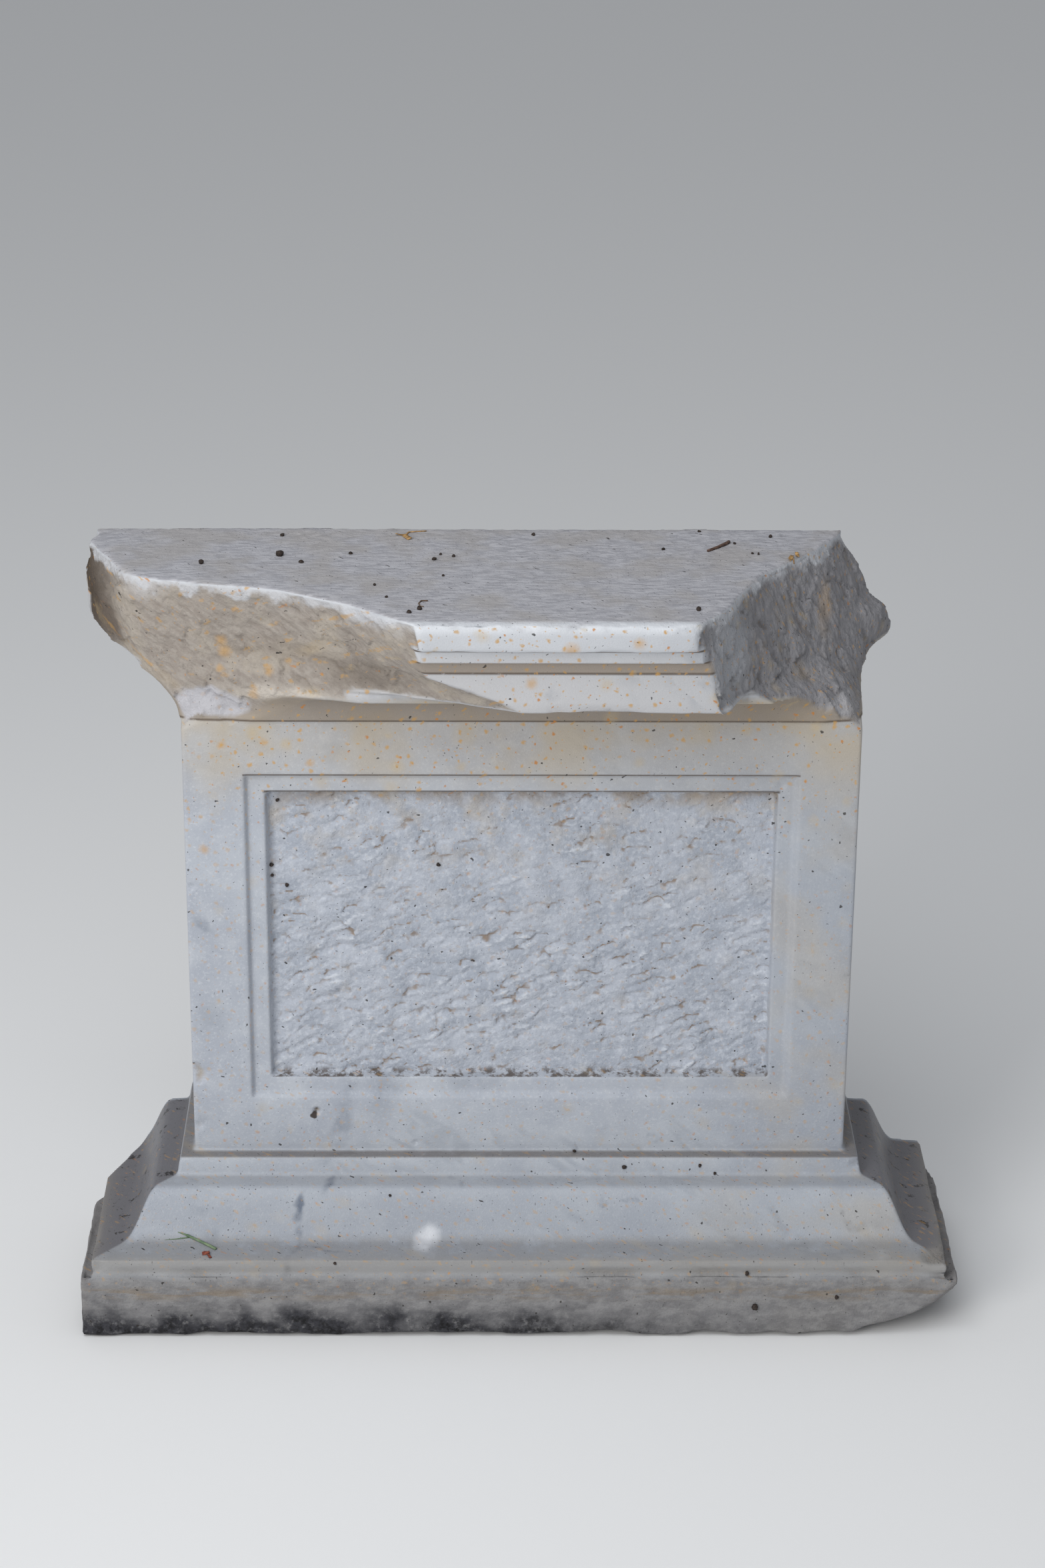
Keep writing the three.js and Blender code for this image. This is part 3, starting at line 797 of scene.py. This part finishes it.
clouds = marble.noise(85, 3, 1)
mottle = marble.noise(16, 4, 2)
crystal = marble.noise(2.2, 3, 3)
marble.colour = marble.mix(marble.share(clouds, 0.35, 0.65), "#a7acb6", "#b6bbc3")
marble.lay("#c3c6cb", marble.share(mottle, 0.4, 0.75, 0.4))
marble.lay("#d2d5d9", marble.share(crystal, 0.5, 0.75, 0.35))
rained_on = marble.mix(by_height(crown_fillet_bottom - 3, slab_bottom), "#c2c1c2", "#c7c9cd")
marble.lay(rained_on, by_height(bed_fillet_bottom, soffit + 1, 0.85), by_depth(100, 90))
wandering = marble.moved(marble.place, marble.push(18, 3.0, 16), (-8 * MM, -8 * MM, -8 * MM))


def streak(start, end, width):
    """A soft streak between two pixels of the photograph, laid on the stone there."""
    ends = [on_stone(*pixel)[0] for pixel in (start, end)]
    along = ends[1] - ends[0]
    radii = (0.62 * along.length / MM, width, 2.5 * width)
    turn = tuple(along.to_track_quat("X", "Z").to_euler())
    return marble.stain((ends[0] + ends[1]) / 2, radii, turn, wandering)


veins = (
    ("die_long", (540, 1600), (500, 1730), 9, 0.5), ("die_wide", (600, 1590), (560, 1680), 14, 0.4),
    ("rail_low", (560, 1720), (470, 1745), 5, 0.45), ("rail_right", (650, 1640), (760, 1610), 9, 0.3),
    ("cyma_top", (510, 1765), (480, 1790), 7, 0.8), ("cyma_upper", (458, 1785), (446, 1835), 5, 1.0),
    ("cyma_lower", (450, 1835), (440, 1880), 5, 0.9), ("cyma_foot", (440, 1868), (520, 1880), 4, 0.6),
    ("band", (440, 1875), (425, 1915), 5, 1.0), ("cyma_left", (330, 1845), (300, 1865), 6, 0.35),
    ("cyma_far_left", (280, 1800), (320, 1810), 6, 0.4), ("dash_mid", (688, 1772), (700, 1782), 3, 0.7),
    ("dash_right_a", (898, 1800), (915, 1808), 2.5, 0.8),
    ("dash_right_b", (930, 1800), (962, 1808), 2.5, 0.8),
    ("hook_stem", (1257, 1815), (1262, 1832), 3.5, 0.8), ("hook_foot", (1262, 1836), (1303, 1842), 3, 0.8),
    ("rail_dash", (983, 1700), (976, 1712), 3.5, 0.7), ("rail_mark", (864, 1715), (856, 1735), 3.5, 0.7),
    ("stile_left", (305, 1500), (330, 1560), 9, 0.3), ("stile_line", (284, 1372), (322, 1412), 3.5, 0.5),
    ("top_rail", (520, 1120), (480, 1145), 6, 0.3), ("corona", (820, 1030), (835, 1055), 4, 0.35),
)
# Painted shade: a darker grey towards the bottom and towards the right, where the light falls off.
marble.lay("#8d929a", marble.highest(by_height(200, 60, 0.5), by_width(0, 300, 0.42)))
diagonal = marble.noise((150, 34, 34), 3, 5, (0, math.radians(38), 0))
all_veins = marble.product(marble.share(marble.away(diagonal, 0.5), 0.07, 0.0, 0.25),
                           marble.share(clouds, 0.5, 0.62))
for name, start, end, width, strength in veins:
    vein = marble.share(streak(start, end, width), 0.0, 0.85, strength)
    all_veins = marble.highest(all_veins, vein)
marble.lay("#666f7e", all_veins, marble.share(mottle, 0.3, 0.62))
print("Veins:", len(veins))

# %% [markdown]
# ## Yellow film and the chiselled field
# A thin yellow film has settled on the upper die, under the cornice and on the foot. The two
# cavettos, under the corona and under the crown fillet, get a brown coat that is partly film and
# partly painted shade. The field of the panel is freshly broken crystal, so it is paler and bluer,
# with brown soil and painted shade in the crevices that the chisel left. Those crevices come from
# the "hollow" mask, written while the marks were cut: it is above zero in a crevice and below zero
# on a crest, where a painted highlight whitens the crystal.

# %% Film and field
carved_sides = by_depth(block_back - 4.5, block_back - 9.5)
film = marble.product(marble.share(marble.noise(60, 3, 7), 0.42, 0.66), carved_sides)
under_cornice = by_height(soffit - 1, bed_fillet_bottom)
on_upper_die = marble.product(by_height(410, 490), under_cornice)
on_right_die = marble.product(by_width(50, 260, 0.4), under_cornice)
marble.lay("#b9a98d", film, marble.highest(on_upper_die, on_right_die), 0.6)
marble.lay("#ab9f8c", on_upper_die, carved_sides, 0.4)
# Brown film and painted shade on the bed cavetto under the corona, then on the cavetto under the crown
# fillet.
marble.lay("#8e8172", by_height(die_top - 0.5, die_top + 1.5),
           by_height(bed_fillet_bottom + 1, bed_fillet_bottom - 2), carved_sides, 0.75)
marble.lay("#938678", by_height(corona_top - 0.5, corona_top + 1),
           by_height(crown_fillet_bottom + 0.5, crown_fillet_bottom - 1), carved_sides, 0.85)

field = marble.mask("field")
hollow = marble.mask("hollow")
patchy = marble.noise(22, 4, 9)
sparkle = marble.share(marble.noise(3.2, 2, 11), 0.45, 0.72, 0.45)
# Painted highlight: the chisel crests are whitened as if lit.
painted_crest_highlight = marble.share(hollow, -0.05, -0.8, 0.75)
warm_soil = marble.product(marble.share(marble.noise(34, 3, 12), 0.5, 0.66), by_height(300, 440, 0.4))
field_colour = marble.mix(marble.share(patchy, 0.38, 0.62), "#a5abb6", "#b2b7c1")
for share, coat in ((sparkle, "#cdd1d8"), (painted_crest_highlight, "#d3d7de"), (warm_soil, "#b3a48d")):
    field_colour = marble.mix(share, field_colour, coat)
marble.lay(field_colour, field)
# Brown soil and painted shade in the chisel crevices.
marble.lay("#8a7867", field, marble.share(hollow, 0.2, 0.95, 0.85), marble.share(patchy, 0.66, 0.42))
print("Film and field are in")

# %% [markdown]
# ## The breaks
# Broken marble takes dirt more easily than polished marble. The left break is warm beige, with a
# fresh white chip low on its left, a pale foot and a dark sheltered end. The right break is a
# cooler grey, and darker partly as painted shade, since it is in shade. Both are paler along the
# rubbed arris where they meet the top, partly as a painted highlight where the rounded arris
# catches the light, and the low parts of both get dirt and painted shade. Most of this is soft
# patches, each named and placed by a pixel, because even streaks would look painted on.

# %% Colours of the breaks
broken = marble.mask("broken")
left_streaks = marble.noise((13, 4, 3.5), 4, 15, (0, math.radians(32), 0))
right_streaks = marble.noise((3.5, 4, 12), 4, 16)
on_right_break = by_width(20, 60)
warm = marble.mix(marble.share(left_streaks, 0.3, 0.7), "#948b83", "#a59d95")
warm = marble.mix(marble.share(marble.noise(26, 4, 17), 0.45, 0.62, 0.6), warm, "#b0a79b")
# The right break's grey is darker partly as painted shade, since that break is in shade.
cool_shaded_grey = marble.mix(marble.share(right_streaks, 0.3, 0.7), "#838285", "#949295")
cool_shaded_grey = marble.mix(marble.share(marble.noise(30, 3, 18), 0.55, 0.75, 0.5), cool_shaded_grey, "#91836f")
break_colour = marble.mix(on_right_break, warm, cool_shaded_grey)
patches = (
    ("fresh_chip", (312, 1060), (36, 60, 19), "#bbbabf", 0.95),
    ("pale_foot", (440, 1046), (66, 60, 14), "#cac2b8", 0.9),
    ("shaded_foot", (545, 1012), (48, 60, 20), "#797067", 0.75),
    ("shaded_middle", (430, 975), (60, 60, 16), "#8b8074", 0.4),
    ("dark_end", (134, 880), (44, 140, 90), "#51463c", 1.0),
    ("dark_heel", (168, 930), (16, 60, 26), "#5d5147", 0.7),
    ("white_shoulder", (560, 925), (42, 60, 16), "#c9cace", 0.85),
    ("right_pale_edge", (1095, 975), (30, 60, 70), "#b4b7bd", 0.6),
    ("right_pale_foot", (1262, 1062), (22, 60, 12), "#a6a5a8", 0.7),
    ("right_rust", (1238, 905), (9, 50, 26), "#a68f73", 0.45),
    ("pale_shoulder", (215, 870), (26, 60, 20), "#c3c2c3", 0.7),
    ("grey_height", (400, 900), (50, 60, 13), "#96908b", 0.5),
)
for name, pixel, radii, colour, strength in patches:
    oval = marble.stain(on_stone(*pixel)[0], radii, place=wandering)
    full_at = 0.3 if name == "fresh_chip" else 0.8
    break_colour = marble.mix(marble.share(oval, 0.0, full_at, strength), break_colour, colour)
# Dirt and painted shade in the low parts of the breaks.
break_colour = marble.mix(marble.share(hollow, 0.5, 1.0, 0.3), break_colour, "#6e6256")
break_colour = marble.mix(by_height(120, 100), break_colour, "#8a8785")
# Painted highlight and rubbed wear: the ridge where the breaks meet the top is whitened.
ridge = marble.mask("ridge")
uneven_width = marble.product(marble.centred(marble.noise(17, 3, 19)), 2.4)
uneven_ridge = marble.share(marble.calc("ADD", ridge, uneven_width), 0.5, 1.0, 0.75)
rubbed_and_lit_ridge = marble.product(uneven_ridge, marble.share(ridge, 0.0, 0.2))
break_colour = marble.mix(rubbed_and_lit_ridge, break_colour, "#c6c8cd")
marble.lay(break_colour, broken)
whole = marble.product(marble.rest(broken), carved_sides)
print("Breaks are coloured")

# %% [markdown]
# ## Top, ledges and crevices
# Dust lies on the top, and a painted highlight whitens the slab's rounded front arris along it.
# Dirt also settles on the small ledges of the foot, along the foot of the panel's recess and under
# its upper edge, and the left wall of the panel's step gets a bluish painted shade. A thin dark
# line of dirt and painted shade runs in each quirk of the cornice, along the top of the panel's
# step and under the upper edge of the recess.
# Each such line is a share of the height: it is 1 at the level of a ledge and fades over a few
# millimetres, broken up by noise. The breaks cut through the lines.

# %% Dust, dirt lines, painted shade and a painted highlight
top_share = marble.product(by_height(block_top - 4, block_top - 1.5), marble.share(faces_up, 0.5, 0.8))
dust_streaks = marble.noise((11, 3, 8), 5, 20, rough=0.7)
top_colour = marble.mix(marble.share(dust_streaks, 0.38, 0.62), "#9d9ca2", "#bcbbc0")
top_colour = marble.mix(marble.share(marble.noise(50, 3, 21), 0.42, 0.65, 0.5), top_colour, "#a59e97")
marble.lay(top_colour, top_share, 0.9)
slab_front = die_front - slab_out
# Painted highlight along the slab's rounded front arris, where it catches the light.
marble.lay("#d9dce1", by_depth(slab_front + 10.5, slab_front + 4.5),
           by_height(block_top - 10, block_top - 3), marble.share(mottle, 0.25, 0.5, 0.8))


def level_line(height, thickness):
    """1 at a height in millimetres and 0 beyond a thickness above and below it."""
    return marble.share(marble.away(upward, height * MM), thickness * MM, 0.0)


def level_lines(*rows):
    """Several level lines in one, each given by its height, its thickness and its strength."""
    return marble.highest(*[marble.product(level_line(height, thickness), strength)
                            for height, thickness, strength in rows])


dirt = marble.noise(6, 5, 24, rough=0.7)
ledges = level_lines((die_bottom, 2.2, 0.3), (cyma_top, 2.2, 0.2), (band_top + 2, 7, 0.4), (soffit, 2, 0.4))
marble.lay("#7a746e", ledges, marble.share(mottle, 0.2, 0.5), whole)
# Dark lines in the quirks of the cornice: dirt, and painted shade under each small overhang.
quirk_dirt_and_shade = level_lines((slab_bottom - 0.7, 1.5, 1.0), (crown_fillet_bottom - 0.8, 1.7, 1.0),
                     (corona_top, 1.7, 0.9), (die_top + 0.2, 1.6, 0.9), (die_bottom, 1.0, 0.5))
marble.lay("#55473a", quirk_dirt_and_shade, marble.share(dirt, 0.2, 0.42), whole)

field_top, field_foot = panel_top - panel_border, panel_bottom + panel_border
field_half_width = panel_half_width - panel_border
step_front = die_front + panel_step
off_centre = marble.away(across)
on_frame = marble.product(by_depth(0, -10),
                          marble.share(off_centre, (panel_half_width + 1) * MM, panel_half_width * MM))
# Dirt and painted shade along the top of the panel's step.
marble.lay("#55473a", level_line(panel_top - 0.4, 1.5), on_frame, marble.share(dirt, 0.2, 0.4), 0.85)
# Painted shade: a bluish strip on the left wall of the panel's step.
left_step_shade = marble.share(marble.away(across, (1.3 - panel_half_width) * MM), 3 * MM, 0.0)
marble.lay("#6f7480", left_step_shade, on_frame, by_height(panel_bottom - 1, panel_bottom + 1),
           by_height(panel_top + 1, panel_top), 0.35)
in_field_width = marble.share(off_centre, (field_half_width + 1.5) * MM, (field_half_width - 0.5) * MM)
recess = marble.product(by_depth(step_front + 0.3, step_front + 1.3), by_depth(20, 0), in_field_width, whole)
damp = marble.share(marble.noise(26, 4, 27), 0.36, 0.6, 0.75)
marble.lay("#8c7a64", recess, by_height(field_top - 21, field_top - 0.5),
           by_height(field_top + 2, field_top + 0.8), damp)
# Dirt and painted shade under the upper edge of the recess.
marble.lay("#463a2f", on_frame, level_line(field_top - 0.7, 2.0), marble.share(dirt, 0.2, 0.45, 0.9),
           in_field_width)
soil = marble.share(marble.noise(10, 5, 28, rough=0.7), 0.45, 0.6, 0.85)
marble.lay("#4b3d30", recess, by_height(field_foot + 8, field_foot + 2),
           by_height(field_foot - 2, field_foot - 0.5), soil)

out_at_side = marble.calc("SUBTRACT", off_centre, half_die * MM)
out_in_front = marble.calc("SUBTRACT", die_front * MM, depthwise)
side = marble.share(marble.calc("SUBTRACT", out_at_side, out_in_front), 0.0, 4 * MM)
side = marble.product(side, by_height(die_bottom, die_bottom - 7), carved_sides)
marble.lay("#69676b", side, 0.9)
marble.lay("#221d1c", side, marble.share(marble.noise(12, 5, 30, rough=0.7), 0.58, 0.66), 0.9)
print("Dust and dirt lines are in")

# %% [markdown]
# ## The foot
# The plinth was left rough and stood in damp ground. It is yellow-grey under the band, a brown
# line runs along it, and below that it is black with soot and algae, most of all at the left.

# %% Soot and soil on the plinth
marble.lay("#908b84", by_height(band_top + 1.5, band_top - 1), by_height(band_bottom - 6, band_bottom + 4),
           carved_sides, 0.6)
plinth = by_height(band_bottom + 4, band_bottom - 6)
plinth_noise = marble.noise((16, 16, 8), 4, 33, rough=0.7)
marble.lay(marble.mix(marble.share(plinth_noise, 0.35, 0.65), "#747272", "#8c8a89"), plinth, 0.9)
marble.lay("#857257", level_line(40, 9), marble.share(marble.noise((60, 20, 7), 4, 34), 0.46, 0.6, 0.5))
to_left = by_width(240, -100)
uneven = marble.centred(marble.noise((34, 34, 26), 5, 35))
soot_level = marble.calc("ADD", upward, marble.product(uneven, 55 * MM))
marble.lay("#38383d", marble.share(soot_level, 36 * MM, 4 * MM), marble.calc("ADD", to_left, 0.1),
           marble.share(dirt, 0.15, 0.55))
crusted = marble.share(marble.noise(7, 5, 36, rough=0.7), 0.4, 0.6, 0.9)
marble.lay("#161517", marble.share(soot_level, 18 * MM, 0.0), marble.calc("ADD", to_left, 0.2), crusted)
print("Foot is dirty")

# %% [markdown]
# ## Ochre spots and black specks
# Rust-coloured lichen and iron grow as soft ragged spots of many sizes, thickest on the upper die,
# the corona and the left break. Black specks are tiny and lie everywhere. Voronoi cells scatter
# them: each cell has one spot with its own radius, and many cells have none. The cells lie on the
# stone as if its skin were unrolled flat, so few spots are drawn out over a corner. The largest spots,
# the drilled hole and the white bruise on the foot are named and placed one by one.

# %% Scatter the spots and specks
wobble = marble.push(4, 1.0, 4)
ragged = marble.moved(marble.place, wobble)
stands_out = marble.highest(out_in_front, out_at_side)
unrolled = marble.node("CombineXYZ", {
    "X": marble.calc("ADD", across, depthwise),
    "Y": marble.calc("SUBTRACT", upward, marble.product(stands_out, 0.6))}).outputs["Vector"]
unrolled = marble.moved(unrolled, wobble)

many = marble.share(marble.noise(60, 1, 40), 0.2, 0.5)
upper = marble.calc("ADD", by_height(380, 470, 0.55), 0.45)
bare = marble.product(marble.rest(top_share), upper, marble.rest(field, 0.35), by_height(30, 55),
                      marble.rest(broken, 0.35))
for spacing, biggest, kept, strength, seed, soft, colour in (
    (27, 0.33, 0.5, 0.4, 1, 0.0, "#bfa981"), (9.5, 0.26, 0.8, 0.75, 2, 0.2, "#c1954f"),
    (5.5, 0.22, 0.5, 0.6, 7, 0.3, "#c1975a"), (13, 0.14, 0.5, 0.85, 3, 0.3, "#bd7c33"),
):
    marble.lay(colour, marble.spots(spacing, biggest, kept, seed, soft, unrolled), many, bare, strength)
rust_spots = (
    ("break_high", (355, 910), 4), ("break_a", (335, 957), 7), ("break_b", (341, 973), 8),
    ("break_c", (334, 999), 5), ("break_d", (384, 1028), 5), ("break_e", (383, 1040), 7),
    ("break_f", (407, 1001), 6), ("break_g", (436, 987), 4), ("break_h", (347, 1034), 3),
    ("break_i", (451, 1035), 3.5), ("die_a", (335, 1114), 5), ("die_b", (400, 1110), 5),
    ("die_c", (469, 1141), 5), ("die_d", (310, 1270), 6), ("slab_a", (862, 972), 9),
    ("slab_b", (965, 962), 7), ("corona_a", (802, 1022), 7),
)
for name, pixel, radius in rust_spots:
    rust = marble.stain(on_stone(*pixel)[0], (radius, 2 * radius, radius), place=ragged)
    marble.lay("#c4954a", marble.share(rust, 0.0, 0.9, 0.55))
drilled = marble.stain(on_stone(*drilled_hole)[0], (3.6, 40, 3.6), place=ragged)
marble.lay("#33271e", marble.share(drilled, 0.0, 0.45, 0.95))
bruise = marble.stain(on_stone(640, 1856)[0], (12, 30, 12), place=wandering)
marble.lay("#d9dbe0", marble.share(bruise, 0.0, 0.9), marble.share(mottle, 0.3, 0.55, 0.8))
small_specks = marble.spots(6, 0.085, 0.4, 4, 0.6, unrolled)
marble.lay("#2b2724", marble.highest(small_specks, marble.spots(21, 0.055, 0.5, 5, 0.7, unrolled)), 0.85)
lying = marble.highest(marble.share(faces_up, 0.25, 0.6), level_line(band_top + 3, 9))
marble.lay("#332c27", marble.spots(4.2, 0.13, 0.5, 6, 0.6), lying, marble.share(dirt, 0.4, 0.55), 0.85)
print("Spots are in")

# %% [markdown]
# ## Grain and gloss
# Weathered marble is matt, a little glossier where it was polished. Its grain is shown with bump:
# a fine crystal all over, stronger on the breaks and in the field, where it is stretched along
# the fibres.

# %% Grain, gloss and finish
fine = marble.centred(marble.noise(1.1, 3, 50))
coarse = marble.centred(marble.noise(3.4, 4, 51, rough=0.65))
fibre = marble.centred(marble.mix(on_right_break, left_streaks, right_streaks))
rough_share = marble.highest(broken, field, marble.product(plinth, 0.8), marble.product(top_share, 0.6),
                             by_depth(94, 99, 0.8))
bumps = marble.calc("ADD", marble.product(fine, 0.35), marble.product(coarse, rough_share, 1.6),
                    marble.product(fibre, broken, 1.6))
marble.fill(marble.shader.inputs["Roughness"], marble.share(rough_share, -1.0, 1.0, 0.85))
marble.shader.inputs["Specular IOR Level"].default_value = 0.35
marble_block.data.materials.clear()
marble_block.data.materials.append(marble.finish(bumps, 0.8, 1.0))
print("Marble has", len(marble.tree.nodes), "nodes")

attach(marble_block, "root")
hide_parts("column_base")

# %% [markdown]
# ## What lies on the stone
# A sprig of grass, a twig, bits of dry leaf and crumbs of soil lay on the stone that day. They are
# small pieces of their own, so they can be hidden at once for a clean block. Each is placed by the
# pixels where it shows, and rests on the finished skin there. A stem is a row of circles along its
# path, joined by bridge_loops, which gives a closed tube that can taper.

# %% Helpers for litter
skin = BVHTree.FromObject(marble_block, bpy.context.evaluated_depsgraph_get())


def litter_piece(name, shape, finish):
    """Turns a bmesh into a smooth piece that rides on the block."""
    bmesh.ops.recalc_face_normals(shape, faces=shape.faces)
    piece = piece_from(shape, name)
    round_off(piece)
    piece.data.materials.append(finish)
    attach(piece, "root")
    print(name, len(piece.data.polygons), "faces")


def litter_finish(name, dark, light, grain, seed):
    """A matt finish that varies between two colours, with a fine bump."""
    recipe = Recipe(name)
    pattern = recipe.noise(grain, 3, seed)
    recipe.colour = recipe.mix(recipe.share(pattern, 0.35, 0.65), dark, light)
    recipe.shader.inputs["Roughness"].default_value = 0.8
    return recipe.finish(pattern, 0.5, 0.5)


def add_stem(shape, pixels, thick, thin, sides=7):
    """A tapering stem that lies on the stone along a line of pixels; radii are in millimetres."""
    path = []
    for (across_a, along_a), (across_b, along_b) in zip(pixels, pixels[1:]):
        for share in (0, 0.25, 0.5, 0.75):
            path.append((across_a + share * (across_b - across_a), along_a + share * (along_b - along_a)))
    path.append(pixels[-1])
    spots = [on_stone(*pixel, skin) for pixel in path]
    widths = np.linspace(thick, thin, len(spots)) * MM
    centres = [place + facing * width * 0.9 for (place, facing), width in zip(spots, widths)]
    rings = []
    for step, (centre, width) in enumerate(zip(centres, widths)):
        heading = centres[min(step + 1, len(centres) - 1)] - centres[max(step - 1, 0)]
        turn = heading.to_track_quat("Z", "Y").to_matrix().to_4x4()
        ring = bmesh.ops.create_circle(shape, segments=sides, radius=width,
                                       matrix=Matrix.Translation(centre) @ turn)["verts"]
        rings.append(list(dict.fromkeys(edge for vert in ring for edge in vert.link_edges)))
    for one, other in zip(rings, rings[1:]):
        bmesh.ops.bridge_loops(shape, edges=one + other)
    bmesh.ops.holes_fill(shape, edges=rings[0] + rings[-1])


def add_flake(shape, pixel, length, width, turn, seed):
    """A crumpled flake of leaf that lies on the stone at a pixel; sizes are in millimetres."""
    place, facing = on_stone(*pixel, skin)
    basis = facing.to_track_quat("Z", "Y").to_matrix().to_4x4()
    matrix = Matrix.Translation(place) @ basis @ Matrix.Rotation(math.radians(turn), 4, "Z")
    matrix = matrix @ Matrix.Diagonal((length * MM, width * MM, 1, 1))
    sheet = bmesh.ops.create_grid(shape, x_segments=6, y_segments=4, size=0.5, matrix=matrix)["verts"]
    lifts = soft_noise(np.array([vert.co for vert in sheet]) / MM, 0.4 * length, seed)
    for vert, lift in zip(sheet, lifts - lifts.min()):
        vert.co += facing * (0.3 + 0.22 * length * lift) * MM
    faces = list(dict.fromkeys(face for vert in sheet for face in vert.link_faces))
    bmesh.ops.solidify(shape, geom=faces, thickness=0.35 * MM)


print("Litter helpers are ready")

# %% Grass, twig and dry leaves
sprig = bmesh.new()
add_stem(sprig, ((324, 1875), (281, 1853)), 1.25, 1.0)
add_stem(sprig, ((284, 1854), (267, 1848)), 0.95, 0.25)
add_stem(sprig, ((284, 1856), (262, 1859), (247, 1860)), 0.6, 0.15)
litter_piece("grass_sprig", sprig, litter_finish("grass", "#5d7358", "#7f9071", 5, 61))
twig = bmesh.new()
add_stem(twig, ((1062, 828), (1079, 822), (1094, 815)), 1.1, 1.4)
litter_piece("twig", twig, litter_finish("bark", "#4a3730", "#6f574a", 2, 62))
curl = bmesh.new()
add_stem(curl, ((642, 902), (632, 902), (628, 906), (631, 910), (636, 910)), 0.6, 0.35)
litter_piece("root_curl", curl, litter_finish("root", "#4d3c30", "#806a55", 2, 63))
straw = bmesh.new()
add_flake(straw, (602, 803), 9, 4, 20, 64)
add_flake(straw, (611, 807), 10, 4, -35, 65)
add_stem(straw, ((609, 804), (613, 799), (640, 797)), 0.7, 0.4)
add_flake(straw, (1186, 838), 8, 3, 10, 66)
add_flake(straw, (1196, 833), 8, 2.5, 50, 67)
add_stem(straw, ((1190, 839), (1191, 846)), 0.6, 0.4)
litter_piece("dry_leaf_bits", straw, litter_finish("straw", "#8a6a42", "#c39c66", 3, 64))
red_leaf = bmesh.new()
add_flake(red_leaf, (309, 1881), 6, 3, 10, 68)
add_flake(red_leaf, (314, 1885), 5, 2.2, -60, 69)
litter_piece("red_leaf_bit", red_leaf, litter_finish("red_leaf", "#5a261c", "#8d4a35", 2, 65))

# %% [markdown]
# ## Crumbs of soil
# A crumb starts as a small icosphere and is pushed in and out by noise, so no two are alike. All of
# them together are one piece.

# %% Crumbs of soil
crumbs = (
    (421, 833, 3.3), (302, 846, 2.2), (452, 844, 1.8), (526, 831, 1.3), (423, 804, 1.8),
    (562, 878, 1.2), (580, 896, 1.2), (614, 919, 1.8), (629, 914, 1.6), (651, 840, 1.7),
    (661, 832, 1.1), (681, 835, 1.4), (665, 864, 1.2), (800, 803, 1.5), (995, 825, 1.5),
    (1048, 915, 2.2), (1049, 798, 1.3), (1156, 806, 1.3), (1102, 816, 1.3), (1129, 831, 1.1),
    (1138, 832, 1.2), (1132, 1960, 2.6), (1121, 1910, 1.9), (1255, 1945, 1.5), (936, 1750, 1.8),
    (585, 1793, 1.3), (658, 1296, 1.4), (431, 1326, 1.9), (407, 1297, 1.6), (408, 1312, 1.3),
    (416, 1199, 1.3), (503, 1895, 1.3), (862, 1728, 1.4), (1050, 1748, 1.3), (1072, 1760, 1.2),
)
soil = bmesh.new()
for step, (across_pixel, along_pixel, radius) in enumerate(crumbs):
    place, facing = on_stone(across_pixel, along_pixel, skin)
    centre = place + facing * 0.45 * radius * MM
    lump = bmesh.ops.create_icosphere(soil, subdivisions=2, radius=radius * MM,
                                      matrix=Matrix.Translation(centre))["verts"]
    pushes = soft_noise(np.array([vert.co for vert in lump]) / MM, 1.1 * radius, 90 + step)
    for vert, push in zip(lump, pushes):
        vert.co += (vert.co - centre) * 0.55 * push
litter_piece("soil_crumbs", soil, litter_finish("soil", "#1f1916", "#3d3029", 1.2, 66))
